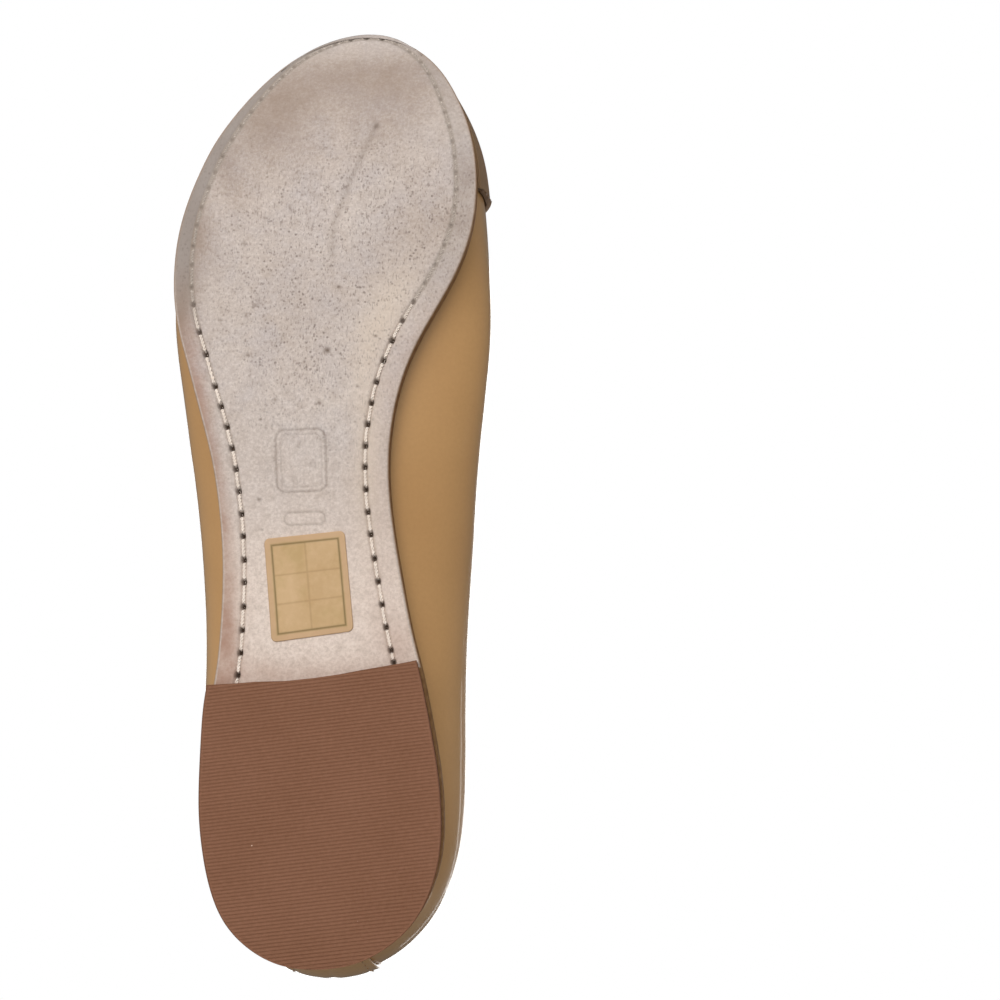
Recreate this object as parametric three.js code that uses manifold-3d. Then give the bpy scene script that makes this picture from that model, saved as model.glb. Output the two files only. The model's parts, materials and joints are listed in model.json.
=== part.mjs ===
// Right-foot leather-soled flat with a patent upper, a textured toe cap and a low rubber heel.
// Millimetres, +Z up, toe toward -Y, medial side toward +X. The sole stands on z = 0.
import * as THREE from 'three';
import Module from 'manifold-3d';
import { mergeVertices } from 'three/addons/utils/BufferGeometryUtils.js';

const wasm = await Module();
wasm.setup();

// ---- driving dimensions -------------------------------------------------------------
const SOLE_T = 4.0;            // outsole leather
const SOLE_BEVEL = 0.5;        // broken edge round the tread side of the outsole
const TOE_Y = -141.75;         // toe tip of the outsole
const TOE_SPRING = 13.0;       // rise of the toe tip
const SPRING_LEN = 80;         // length over which the toe lifts
const SPRING_POW = 2.8;
const WAIST_FROM = 95, WAIST_TO = 185;   // arch rise, measured from the toe tip
const HEEL_H = 6.0;            // heel stack
const LIFT_T = 2.0;            // fibre lift
const GAP = 0.3;               // gap left between touching pieces
const FEATHER = 2.0;           // feather edge inside the outsole edge
const MARGIN = 11;             // lasting margin turned under the insole board
const UPPER_T = 1.2;           // patent leather
const LAYER_T = 0.8;           // toe puff, counter, interlining
const LINING_T = 0.8;
const CAP_T = 1.1;
const STAY_T = 0.9;
const STAY_W = 22;             // width of the back strap
const CAP_Y = -94;             // rear line of the toe cap on the top of the vamp
const BOARD_T = 2.0, FOAM_T = 2.0, SOCK_T = 1.0;
const BOARD_IN = 4.6, SOCK_IN = 6.6;   // inset of the board and of the sock from the outsole edge
const WELT_IN = 5.8;           // stitch line inside the outsole edge
const CHANNEL_W = 2.2, CHANNEL_D = 1.3;
const THREAD_R = 0.45;
const STITCH_FROM = 22.2, STITCH_TO = 42.4;  // stations at the two corners of the heel breast
const BIND_DEPTH = 5.0;        // how far the binding reaches down the topline
const SHANK = { y0: -8, y1: 88, w: 12, t: 1.2, x: -4.5 };
const RIVETS = [[-6.2, 2], [-2.6, 78]];
const NAILS = [[-20, 66], [-21, 92], [-1, 108], [19, 92], [17, 66]];

// station table, toe tip -> lateral -> heel -> medial, 64 equal steps of outsole edge:
// outsole edge x,y | widest line x,y | its height above the sole | topline x,y,z | slope at the topline
const ST = [
  [4.36,-141.49,4.38,-142.21,9,-2,-78,42,5],
  [-4.79,-139.43,-5.18,-140.31,8.87,-5.65,-77.69,42.03,5.25],
  [-12.95,-134.63,-13.72,-135.66,8.84,-9.25,-76.82,42.11,6.08],
  [-19.83,-128.13,-20.96,-129.2,8.89,-12.76,-75.42,42.23,7.62],
  [-25.77,-120.74,-27.11,-121.75,9,-16.17,-73.53,42.4,10],
  [-31.07,-112.87,-32.49,-113.75,9.15,-19.43,-71.12,42.62,13.31],
  [-35.71,-104.62,-37.15,-105.3,9.36,-22.51,-68.2,42.89,17.48],
  [-39.33,-95.86,-41.05,-96.49,9.64,-25.35,-64.75,43.21,22.41],
  [-42.33,-86.86,-44.28,-87.37,10,-27.93,-60.76,43.6,28],
  [-44.44,-77.62,-46.81,-77.94,10.46,-30.23,-56.26,44.05,34.11],
  [-45.35,-68.19,-48.41,-68.22,11,-32.27,-51.26,44.54,40.39],
  [-45.09,-58.72,-48.96,-58.26,11.64,-34.05,-45.75,45.07,46.48],
  [-43.51,-49.38,-48.47,-48.26,12.5,-35.56,-39.72,45.6,52],
  [-40.93,-40.25,-47.38,-38.49,13.66,-36.79,-33.16,46.13,56.64],
  [-38.35,-31.13,-46.2,-28.98,15,-37.7,-26.04,46.64,60.45],
  [-35.82,-21.99,-45.12,-19.67,16.33,-38.22,-18.34,47.14,63.53],
  [-33.53,-12.79,-44.15,-10.65,17.5,-38.2,-10.05,47.6,66],
  [-31.95,-3.44,-43.31,-1.87,18.39,-37.49,-0.85,48.03,67.97],
  [-30.94,5.98,-42.56,6.91,19,-36.58,8.32,48.47,69.56],
  [-30.45,15.45,-41.93,15.75,19.36,-35.95,17.52,48.94,70.87],
  [-30.5,24.93,-41.39,24.71,19.5,-35.51,26.73,49.5,72],
  [-30.93,34.41,-40.92,33.81,19.44,-35.18,35.94,50.17,73.06],
  [-31.7,43.86,-40.62,43.1,19.22,-34.96,45.16,50.97,74.06],
  [-32.95,53.25,-40.45,52.65,18.89,-34.79,54.38,51.91,75.04],
  [-33.41,62.72,-40.13,62.45,18.5,-34.56,63.6,53,76],
  [-33.55,72.2,-39.55,72.25,18.08,-34.11,72.81,54.25,76.96],
  [-33.29,81.68,-38.56,82.1,17.68,-33.2,81.98,55.67,77.94],
  [-32.07,91.08,-36.87,92.01,17.31,-31.57,91.05,57.25,78.95],
  [-29.84,100.29,-34.01,101.9,17,-28.69,99.8,59,80],
  [-25.84,108.85,-29.21,111.45,16.78,-24.1,107.77,60.85,81.08],
  [-19.15,115.5,-21.79,119.67,16.63,-17.82,114.49,62.5,82.05],
  [-10.64,119.55,-12.05,125.23,16.54,-10.1,119.48,63.6,82.75],
  [-1.23,120.49,-1.12,127.03,16.5,-1.2,121.6,64,83],
  [8.12,119.12,9.7,124.84,16.49,7.74,119.45,63.6,82.71],
  [16.64,115.03,19.23,119.26,16.55,15.49,114.43,62.5,81.99],
  [23.62,108.67,26.62,111.26,16.71,21.83,107.69,60.86,81.02],
  [28.13,100.36,31.43,101.82,17,26.35,99.64,59,80],
  [30.39,91.19,33.9,91.75,17.46,28.88,90.74,57.23,79.05],
  [30.71,81.72,34.8,81.64,18.11,30,81.55,55.62,78.13],
  [29.97,72.27,34.96,71.66,18.95,30.37,72.29,54.2,77.14],
  [28.47,62.91,34.86,61.76,20,30.32,63.02,53,76],
  [26.65,53.6,34.72,51.86,21.23,30.08,53.76,52.02,74.64],
  [24.6,44.34,34.68,41.99,22.5,29.84,44.5,51.23,73.12],
  [22.22,35.16,34.92,32.35,23.64,29.77,35.23,50.57,71.54],
  [20.24,25.89,35.47,22.9,24.5,29.92,25.97,50,70],
  [18.51,16.57,36.14,13.58,24.96,30.3,16.71,49.47,68.56],
  [16.98,7.21,36.74,4.62,25,30.84,7.46,48.97,67.16],
  [15.86,-2.21,37.28,-3.65,24.65,31.45,-1.78,48.48,65.67],
  [15.5,-11.68,37.84,-11.17,24,32,-11.03,48,64],
  [16.2,-21.13,38.48,-18.18,23.13,32.33,-19.31,47.52,62.01],
  [17.98,-30.44,39.26,-25.03,22,32.26,-27.01,47.04,59.5],
  [20.91,-39.45,40.14,-32.12,20.57,31.71,-34.13,46.53,56.24],
  [24.95,-48.02,41.11,-40.18,19,30.67,-40.67,46,52],
  [29.59,-56.29,42.07,-49.78,17.46,29.19,-46.64,45.44,46.66],
  [33.96,-64.7,42.79,-60.58,16,27.42,-52.07,44.87,40.58],
  [37.26,-73.58,43.03,-71.63,14.67,25.46,-57.02,44.31,34.21],
  [39.07,-82.88,42.82,-82.24,13.5,23.29,-61.48,43.8,28],
  [39.38,-92.35,42.25,-92.38,12.53,20.82,-65.42,43.35,22.36],
  [38.44,-101.78,40.97,-102.2,11.73,18.02,-68.77,42.97,17.43],
  [36.14,-110.97,38.43,-111.67,11.07,14.97,-71.55,42.65,13.28],
  [32.64,-119.77,34.53,-120.66,10.5,11.75,-73.81,42.4,10],
  [28,-128.03,29.29,-128.94,10,8.42,-75.58,42.21,7.63],
  [21.7,-135.09,22.45,-135.96,9.57,5,-76.89,42.09,6.09],
  [13.68,-140.07,13.96,-140.71,9.24,1.52,-77.71,42.02,5.26],
];
const K = ST.length;

// heel breast: concave front edge of the heel, lateral to medial
const BREAST = [[19.49, 42.47], [9.31, 44.17], [2.99, 45.35], [-3.41, 46.27], [-11.17, 47.06], [-18.83, 47.24], [-25.42, 47.72]];

// ---- curves ---------------------------------------------------------------------------
const V = (x, y, z) => new THREE.Vector3(x, y, z);
const clamp = (t, a, b) => Math.min(b, Math.max(a, t));

function soleZ(y) {            // underside of the outsole
  const s = y - TOE_Y;
  if (s < SPRING_LEN) return TOE_SPRING * Math.pow(Math.max(0, 1 - s / SPRING_LEN), SPRING_POW);
  const t = clamp((s - WAIST_FROM) / (WAIST_TO - WAIST_FROM), 0, 1);
  return HEEL_H * t * t * (3 - 2 * t);
}
const topZ = (y) => soleZ(y) + SOLE_T;

function row(u) {              // interpolated station
  const i = Math.floor(u), f = u - i, m = (k) => ST[((k % K) + K) % K];
  const a = m(i - 1), b = m(i), c = m(i + 1), d = m(i + 2), out = [];
  for (let k = 0; k < a.length; k++) {
    out.push(0.5 * (2 * b[k] + (c[k] - a[k]) * f + (2 * a[k] - 5 * b[k] + 4 * c[k] - d[k]) * f * f
      + (3 * b[k] - a[k] - 3 * c[k] + d[k]) * f * f * f));
  }
  return out;
}
function edge(u, inset = 0) {  // point on the outsole outline, moved inward
  const p = row(u), a = row(u - 0.02), b = row(u + 0.02);
  const tx = b[0] - a[0], ty = b[1] - a[1], l = Math.hypot(tx, ty);
  const nx = ty / l, ny = -tx / l;    // inward
  return { x: p[0] - INS * nx * inset, y: p[1] - INS * ny * inset, nx: INS * nx, ny: INS * ny };
}
let INS = 1;
{ const e = row(0), f = row(0.5); INS = 1; const q = edge(0, 1); if (q.y < e[1]) INS = -1; }

function hermite(p0, m0, p1, m1, t) {
  const t2 = t * t, t3 = t2 * t;
  return V(0, 0, 0).addScaledVector(p0, 2 * t3 - 3 * t2 + 1).addScaledVector(m0, t3 - 2 * t2 + t)
    .addScaledVector(p1, -2 * t3 + 3 * t2).addScaledVector(m1, t3 - t2);
}

// outer face of the upper: v -1..0 lasting margin, 0..0.5 feather to widest line, 0.5..1 to the topline
function S(u, v) {
  const r = row(u);
  if (v < 0) {
    const e = edge(u, FEATHER - v * MARGIN);
    return V(e.x, e.y, topZ(e.y) + GAP);
  }
  const e = edge(u, FEATHER);
  const F = V(e.x, e.y, topZ(e.y) + GAP);
  const M = V(r[2], r[3], topZ(e.y) + r[4]);
  const T = V(r[5], r[6], r[7]);
  if (v <= 0.5) {
    const L = M.distanceTo(F), o = V(M.x - F.x, M.y - F.y, 0), b = o.length();
    o.normalize();
    const ang = Math.max(0.45, Math.atan2(r[4], b) - 0.3);
    return hermite(F, o.multiplyScalar(Math.cos(ang) * L).add(V(0, 0, Math.sin(ang) * L)), M, V(0, 0, L * 0.9), v * 2);
  }
  const L = T.distanceTo(M), d = V(T.x - M.x, T.y - M.y, 0).normalize(), el = r[8] * Math.PI / 180;
  return hermite(M, V(0, 0, L * 0.8), T, d.multiplyScalar(Math.cos(el) * L * 0.9).add(V(0, 0, Math.sin(el) * L * 0.9)), v * 2 - 1);
}
function normal(u, v) {
  const du = 0.1, dv = 0.02, v0 = Math.max(-1, v - dv), v1 = Math.min(1, v + dv);
  const a = S(u + du, v).sub(S(u - du, v)), b = S(u, v1).sub(S(u, v0));
  const n = a.cross(b).normalize();
  return n.multiplyScalar(NS);
}
let NS = 1;
{ const n = normal(32, 0.5); if (n.y < 0) NS = -1; }
const at = (u, v, d) => S(u, v).addScaledVector(normal(u, v), d);

function solveV(u, test) {     // smallest v in 0..1 where test(v) turns true
  let a = 0, b = 1;
  for (let k = 0; k < 40; k++) { const m = (a + b) / 2; if (test(m)) b = m; else a = m; }
  return b;
}
const footV = (u) => { const e = edge(u, FEATHER); return solveV(u, (v) => S(u, v).z > topZ(e.y) + GAP + 4.6); };

// ---- solids -----------------------------------------------------------------------------
function solid(points, tris) {
  const pos = new Float32Array(points.length * 3);
  points.forEach((p, i) => { pos[3 * i] = p.x; pos[3 * i + 1] = p.y; pos[3 * i + 2] = p.z; });
  let vol = 0;
  for (const [a, b, c] of tris) vol += points[a].dot(points[b].clone().cross(points[c]));
  const idx = [];
  for (const [a, b, c] of tris) vol < 0 ? idx.push(a, c, b) : idx.push(a, b, c);
  const g = new THREE.BufferGeometry();
  g.setAttribute('position', new THREE.BufferAttribute(pos, 3));
  g.setIndex(idx);
  return g;
}
// grid(i, j) for two faces, closed round their rim
function shell(nu, nv, outer, inner, closed = false) {
  const P = [], T = [], W = nv;
  for (const f of [outer, inner]) for (let i = 0; i < nu; i++) for (let j = 0; j < nv; j++) P.push(f(i, j));
  const o = (i, j) => (i % nu) * W + j, n = (i, j) => nu * W + (i % nu) * W + j;
  const q = (a, b, c, d) => T.push([a, b, c], [a, c, d]);
  const U = closed ? nu : nu - 1;
  for (let i = 0; i < U; i++) {
    for (let j = 0; j < nv - 1; j++) {
      q(o(i, j), o(i + 1, j), o(i + 1, j + 1), o(i, j + 1));
      q(n(i, j), n(i, j + 1), n(i + 1, j + 1), n(i + 1, j));
    }
    q(o(i, 0), n(i, 0), n(i + 1, 0), o(i + 1, 0));
    q(o(i, nv - 1), o(i + 1, nv - 1), n(i + 1, nv - 1), n(i, nv - 1));
  }
  if (!closed) {
    const e = nu - 1;
    for (let j = 0; j < nv - 1; j++) {
      q(o(0, j), o(0, j + 1), n(0, j + 1), n(0, j));
      q(o(e, j), n(e, j), n(e, j + 1), o(e, j + 1));
    }
  }
  return solid(P, T);
}
// stations shared by every layer: half steps round the toe, whole steps elsewhere
function stations(u0, u1) {
  const out = [u0];
  for (let k = Math.floor(u0 * 2) / 2; k < u1 - 0.2; k += 0.5) {
    const m = ((k % K) + K) % K, fine = m <= 7 || m >= 57;
    if (k > u0 + 0.2 && (fine || Number.isInteger(k))) out.push(k);
  }
  out.push(u1);
  return out;
}
// patch of the upper between two offsets
function patch(u0, u1, vs, d0, d1) {
  const us = stations(u0, u1), nu = us.length;
  const vv = us.map((u) => vs(u));
  const nv = vv[0].length;
  return shell(nu, nv, (i, j) => at(us[i], vv[i][j], d0), (i, j) => at(us[i], vv[i][j], d1));
}
const steps = (a, b, n) => [...Array(n)].map((_, i) => a + (b - a) * i / (n - 1));

// ring: closed cross section carried along a list of frames
function ring(frames, closed) {
  const P = [], T = [], m = frames[0].length, n = frames.length;
  for (const f of frames) P.push(...f);
  const L = closed ? n : n - 1;
  for (let i = 0; i < L; i++) for (let j = 0; j < m; j++) {
    const a = i * m + j, b = i * m + (j + 1) % m, c = ((i + 1) % n) * m + (j + 1) % m, d = ((i + 1) % n) * m + j;
    T.push([a, b, c], [a, c, d]);
  }
  if (!closed) {
    for (const [s, flip] of [[0, false], [(n - 1) * m, true]]) {
      for (let j = 1; j < m - 1; j++) flip ? T.push([s, s + j, s + j + 1]) : T.push([s, s + j + 1, s + j]);
    }
  }
  return solid(P, T);
}
// plate that follows the sole: loops of points (one per station) joined ring to ring, ladders across first and last
function loops(list) {
  const P = [], T = [], n = list[0].length;
  for (const l of list) P.push(...l);
  for (let r = 0; r < list.length - 1; r++) for (let i = 0; i < n; i++) {
    const a = r * n + i, b = r * n + (i + 1) % n, c = a + n, d = b + n;
    T.push([a, b, d], [a, d, c]);
  }
  for (const [s, flip] of [[0, false], [(list.length - 1) * n, true]]) {
    for (let i = 0; i < n / 2; i++) {
      const a = s + i, b = s + (i + 1) % n, c = s + (n - i - 1) % n, d = s + (n - i) % n;
      const put = (x, y, z) => { if (x !== y && y !== z && x !== z) flip ? T.push([x, y, z]) : T.push([x, z, y]); };
      put(a, b, c); put(a, c, d);
    }
  }
  return solid(P, T);
}
const loop = (n, inset, z, u0 = 0) => [...Array(n)].map((_, i) => {
  const e = edge(u0 + i * K / n, typeof inset === 'function' ? inset(i * K / n) : inset);
  return V(e.x, e.y, z(e.y, i * K / n));
});
function strip(pts, half, z0, z1) {     // flat strip on the sole line; pts = [[x, y], ...] along its middle
  return ring(pts.map(([x, y, w]) => [V(x - (w ?? half), y, z0(y)), V(x + (w ?? half), y, z0(y)), V(x + (w ?? half), y, z1(y)), V(x - (w ?? half), y, z1(y))]), false);
}
function plain(g) {
  const h = g.clone();
  for (const k of Object.keys(h.attributes)) if (k !== 'position') h.deleteAttribute(k);
  return mergeVertices(h, 1e-4);
}
const toManifold = (g) => {
  const h = plain(g);
  return new wasm.Manifold(new wasm.Mesh({ numProp: 3, vertProperties: new Float32Array(h.attributes.position.array), triVerts: new Uint32Array(h.index.array) }));
};
const fromManifold = (m) => {
  const r = m.getMesh(), g = new THREE.BufferGeometry();
  const n = r.vertProperties.length / r.numProp, pos = new Float32Array(n * 3);
  for (let i = 0; i < n; i++) for (let k = 0; k < 3; k++) pos[3 * i + k] = r.vertProperties[i * r.numProp + k];
  g.setAttribute('position', new THREE.BufferAttribute(pos, 3));
  g.setIndex([...r.triVerts]);
  return g;
};
function drill(g, holes) {
  let m = toManifold(g);
  for (const h of holes) m = m.subtract(toManifold(h));
  return fromManifold(m);
}
const pin = (x, y, z0, z1, r, seg = 12) => {
  const g = new THREE.CylinderGeometry(r, r, z1 - z0, seg);
  g.rotateX(Math.PI / 2); g.translate(x, y, (z0 + z1) / 2);
  return g;
};
const lathePin = (x, y, prof, seg = 12) => {
  const g = new THREE.LatheGeometry(prof.map(([r, z]) => new THREE.Vector2(r, z)), seg);
  g.rotateX(Math.PI / 2); g.translate(x, y, 0);
  return g;
};

// ---- materials ---------------------------------------------------------------------------
const mat = (color, roughness, metalness = 0) => new THREE.MeshStandardMaterial({ color, roughness, metalness });
const PATENT = mat(0xb88f5c, 0.15), CAP = mat(0x7d6450, 0.85), SOLE = mat(0xcdbfb6, 0.7), RUBBER = mat(0x855d4a, 0.75);
const LINING = mat(0xd9c3a0, 0.6), SOCK = mat(0xcdb48c, 0.55), BOARD = mat(0xa98f6c, 0.9), THREAD = mat(0xe6dcc6, 0.8);
const STEEL = mat(0x9a9da1, 0.35, 1), FOAM = mat(0xe9e2cf, 0.95), PUFF = mat(0xd8d2c6, 0.8), CLOTH = mat(0xe4ddcf, 0.9);
const ELASTIC = mat(0xe9e5db, 0.9), LABEL = mat(0xc79a55, 0.6), FIBRE = mat(0x6d4b38, 0.85), CORK = mat(0xa87b4e, 0.95);

const group = new THREE.Group();
group.name = 'ballet_flat';
const add = (name, g, m) => { const o = new THREE.Mesh(g, m); o.name = name; group.add(o); };

// outsole with the stitch channel on the tread side and nail holes at the seat
{
  const n = 96, inCh = (u) => (u < STITCH_FROM || u > STITCH_TO) ? 1 : 0;
  const zt = (y) => topZ(y), zb = (y) => soleZ(y), zc = (y, u) => soleZ(y) + CHANNEL_D * inCh(u);
  const a = WELT_IN - CHANNEL_W / 2, b = WELT_IN + CHANNEL_W / 2;
  let g = loops([
    loop(n, 9, zt), loop(n, 0.15, zt), loop(n, 0, (y) => topZ(y) - 0.4), loop(n, 0, (y) => soleZ(y) + SOLE_BEVEL),
    loop(n, SOLE_BEVEL, zb), loop(n, a, zb), loop(n, a + 0.1, zc), loop(n, b - 0.1, zc), loop(n, b, zb), loop(n, 10, zb),
  ]);
  g = drill(g, NAILS.map(([x, y]) => pin(x, y, HEEL_H - 2, HEEL_H + SOLE_T + 2, 1.9)));
  add('outsole', g, SOLE);
}
// thread lying in the channel, breast to breast round the toe
{
  const n = 96, frames = [];
  const first = Math.ceil(STITCH_TO * n / K), last = Math.floor(STITCH_FROM * n / K) + n;
  for (let k = first; k <= last; k++) {
    const u = k * K / n, e = edge(u, WELT_IN), z = soleZ(e.y) + 0.1 + THREAD_R, f = [];
    for (let j = 0; j < 5; j++) {
      const t = j / 5 * 2 * Math.PI, c = Math.cos(t) * THREAD_R, s = Math.sin(t) * THREAD_R;
      f.push(V(e.x + e.nx * c, e.y + e.ny * c, z + s));
    }
    frames.push(f);
  }
  add('sole_stitching', ring(frames, false), THREAD);
}
// heel: fibre lift and rubber top piece
function heelShape(inset) {
  const pts = [];
  const u0 = 22.45, u1 = 42.3;
  for (let i = 0; i <= 44; i++) { const e = edge(u0 + (u1 - u0) * i / 44, inset); pts.push([e.x, e.y]); }
  return pts.concat(BREAST);
}
function heelPlate(inset, z0, z1, taper = 0) {
  const A = heelShape(inset), B = heelShape(inset + taper);
  const ccw = THREE.ShapeUtils.area(A.map(([x, y]) => new THREE.Vector2(x, y))) > 0;
  if (!ccw) { A.reverse(); B.reverse(); }
  const tri = THREE.ShapeUtils.triangulateShape(A.map(([x, y]) => new THREE.Vector2(x, y)), []);
  const P = [...A.map(([x, y]) => V(x, y, z0)), ...B.map(([x, y]) => V(x, y, z1))], n = A.length, T = [];
  for (let [a, b, c] of tri) {
    const s = (A[b][0] - A[a][0]) * (A[c][1] - A[a][1]) - (A[b][1] - A[a][1]) * (A[c][0] - A[a][0]);
    if (s < 0) [b, c] = [c, b];
    T.push([a, c, b], [a + n, b + n, c + n]);
  }
  for (let i = 0; i < n; i++) { const j = (i + 1) % n; T.push([i, j, j + n], [i, j + n, i + n]); }
  return solid(P, T);
}
add('heel_lift', drill(heelPlate(0.5, HEEL_H - GAP - LIFT_T, HEEL_H - GAP), NAILS.map(([x, y]) => pin(x, y, 0, 9, 1.2))), FIBRE);
add('heel_top_piece', drill(heelPlate(0.0, 0, HEEL_H - 2 * GAP - LIFT_T, 0.45), NAILS.map(([x, y]) => pin(x, y, 1.8, 9, 1.2))), RUBBER);
NAILS.forEach(([x, y], i) => {
  const zt = HEEL_H + SOLE_T - 0.3;
  add('heel_nail_' + (i + 1), lathePin(x, y, [[0, 2.1], [0.4, 2.7], [0.8, 3.4], [0.8, zt - 0.9], [1.5, zt], [0, zt]], 10), STEEL);
});

// upper, one piece from back seam to back seam
const SEAM = 0.02;
const ROWS = [0.38, 0.5, 0.57, 0.65, 0.75, 0.88];    // rows shared by every layer above the foot line
const upperV = (u) => { const f = footV(u); return [-1, -0.08, 0.06, f, ...ROWS, 1]; };
add('vamp_and_quarters', patch(32 + SEAM, 96 - SEAM, upperV, 0, -UPPER_T), PATENT);

// toe cap over the front of the vamp
{
  const u0 = -7, u1 = 7.44;
  const vs = (u) => {
    const e = solveV(u, (v) => S(u, v).y > CAP_Y + 3);
    return steps(0.1, Math.max(0.16, e), 15);
  };
  add('toe_cap', patch(u0, u1, vs, GAP + 0.35 + CAP_T, GAP + 0.35), CAP);
}
// strap over the back seam
add('backstay', patch(32 - STAY_W / 2 / 9.48, 32 + STAY_W / 2 / 9.48, (u) => [0.08, footV(u), ...ROWS, 0.912], GAP + 0.15 + STAY_T, GAP + 0.15), PATENT);

// stiffeners and interlinings between upper and lining
const d0 = -UPPER_T - GAP, d1 = d0 - LAYER_T, e0 = d1 - GAP, e1 = e0 - LINING_T;
const wall = (n, top) => (u) => [footV(u), ...ROWS.slice(0, n), ...(top ? [top] : [])];
add('toe_puff', patch(-9.98, 9.98, wall(5), d0, d1), PUFF);
add('heel_counter', patch(22.02, 41.98, wall(5), d0, d1), PUFF);
add('quarter_interlining_lateral', patch(10.02, 21.98, wall(6), d0, d1), CLOTH);
add('quarter_interlining_medial', patch(42.02, 53.98, wall(6), d0, d1), CLOTH);
add('vamp_lining', patch(-13.98, 13.98, wall(6, 1), e0, e1), LINING);
add('quarter_lining', patch(14.02, 49.98, wall(6, 1), e0, e1), LINING);

// folded binding over the topline, with an elastic band in its crown
{
  const n = 64, fr = [], el = [];
  for (let i = 0; i < n; i++) {
    const u = i * K / n, T = S(u, 1), q = S(u, 0.995), L = T.distanceTo(q) / 0.005, v5 = 1 - BIND_DEPTH / L;
    const e = T.clone().sub(q).normalize(), nn = normal(u, 1);
    const vm = (1 + v5) / 2;
    const up = (d, h) => T.clone().addScaledVector(nn, d).addScaledVector(e, h);
    const O = GAP, I = e1 - GAP, w = 0.8;
    fr.push([at(u, v5, O + w), up(O + w, 1.2), up(O + 0.1, 2.4), up(I - 0.1, 2.4), up(I - w, 1.2), at(u, v5, I - w),
      at(u, v5, I), up(I, 1.6), up(O, 1.6), at(u, v5, O)]);
    const a = (O + I) / 2 + 1.1, b = (O + I) / 2 - 1.1;
    el.push([up(a, 0.3), up(a, 1.25), up(b, 1.25), up(b, 0.3)]);
  }
  add('topline_binding', ring(fr, true), PATENT);
  add('topline_elastic', ring(el, true), ELASTIC);
}

// bottom parts inside the shoe
const z1 = (k) => (y) => topZ(y) + k;
const boardLo = 2 * GAP + UPPER_T, boardHi = boardLo + BOARD_T, foamLo = boardHi + GAP, foamHi = foamLo + FOAM_T, sockLo = foamHi + GAP, sockHi = sockLo + SOCK_T;
const plate = (n, inset, a, b) => loops([loop(n, inset, z1(b)), loop(n, inset, z1(a))]);
const shankPts = steps(SHANK.y0, SHANK.y1, 11).map((y) => [SHANK.x + (y - SHANK.y0) * 0.035, y]);
add('insole_board', drill(plate(72, BOARD_IN, boardLo, boardHi), RIVETS.map(([x, y]) => pin(x, y, 0, 30, 1.9))), BOARD);
add('shank', drill(strip(shankPts, SHANK.w / 2, z1(GAP), z1(GAP + SHANK.t)), RIVETS.map(([x, y]) => pin(x, y, 0, 30, 1.9))), STEEL);
RIVETS.forEach(([x, y], i) => {
  const a = topZ(y) + GAP + 0.1, b = topZ(y) + boardHi - 0.15;
  add(i ? 'shank_rivet_rear' : 'shank_rivet_front', lathePin(x, y, [[0, a], [1.5, a], [1.5, b], [0, b]], 12), STEEL);
});
{
  const pts = steps(-126, -14, 15).map((y) => {
    // width left between the two lasting margins
    let l = 1e9, r = -1e9;
    for (let k = 0; k < 256; k++) {
      const e = edge(k * K / 256, FEATHER + MARGIN + 2.2);
      if (Math.abs(e.y - y) < 2.2) { l = Math.min(l, e.x); r = Math.max(r, e.x); }
    }
    return [(l + r) / 2, y, (r - l) / 2];
  }).filter((p) => p[2] > 2);
  add('bottom_filler', strip(pts, 0, z1(GAP), z1(GAP + 1.1)), CORK);
}
add('sock_foam', plate(64, SOCK_IN, foamLo, foamHi), FOAM);
add('sock_lining', plate(64, SOCK_IN - 0.2, sockLo, sockHi), SOCK);

// size label stuck under the waist
{
  const C = [[-18.76, 8.73], [3.37, 6.54], [5.98, 33.67], [-16.40, 36.72]];   // corners, front-left, front-right, rear-right, rear-left
  const nu = 3, nv = 9, P = (i, j, k) => {
    const a = i / (nu - 1), b = j / (nv - 1);
    const x = (C[0][0] * (1 - a) + C[1][0] * a) * (1 - b) + (C[3][0] * (1 - a) + C[2][0] * a) * b;
    const y = (C[0][1] * (1 - a) + C[1][1] * a) * (1 - b) + (C[3][1] * (1 - a) + C[2][1] * a) * b;
    return V(x, y, soleZ(y) - k);
  };
  add('composition_label', shell(nu, nv, (i, j) => P(i, j, 0.47), (i, j) => P(i, j, 0.32)), LABEL);
}

// origin at the middle of the footprint, sole on z = 0
const box = new THREE.Box3();
for (const o of group.children) { o.geometry.computeBoundingBox(); box.union(o.geometry.boundingBox); }
const shift = V(-(box.min.x + box.max.x) / 2, -(box.min.y + box.max.y) / 2, -box.min.z);
for (const o of group.children) o.geometry.translate(shift.x, shift.y, shift.z);

export default group;
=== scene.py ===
# Right-foot flat with a patent upper, textured toe cap, stitched leather outsole and ribbed rubber heel.
import json
import math
import bpy
import numpy as np
from mathutils import Matrix, Vector

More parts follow.
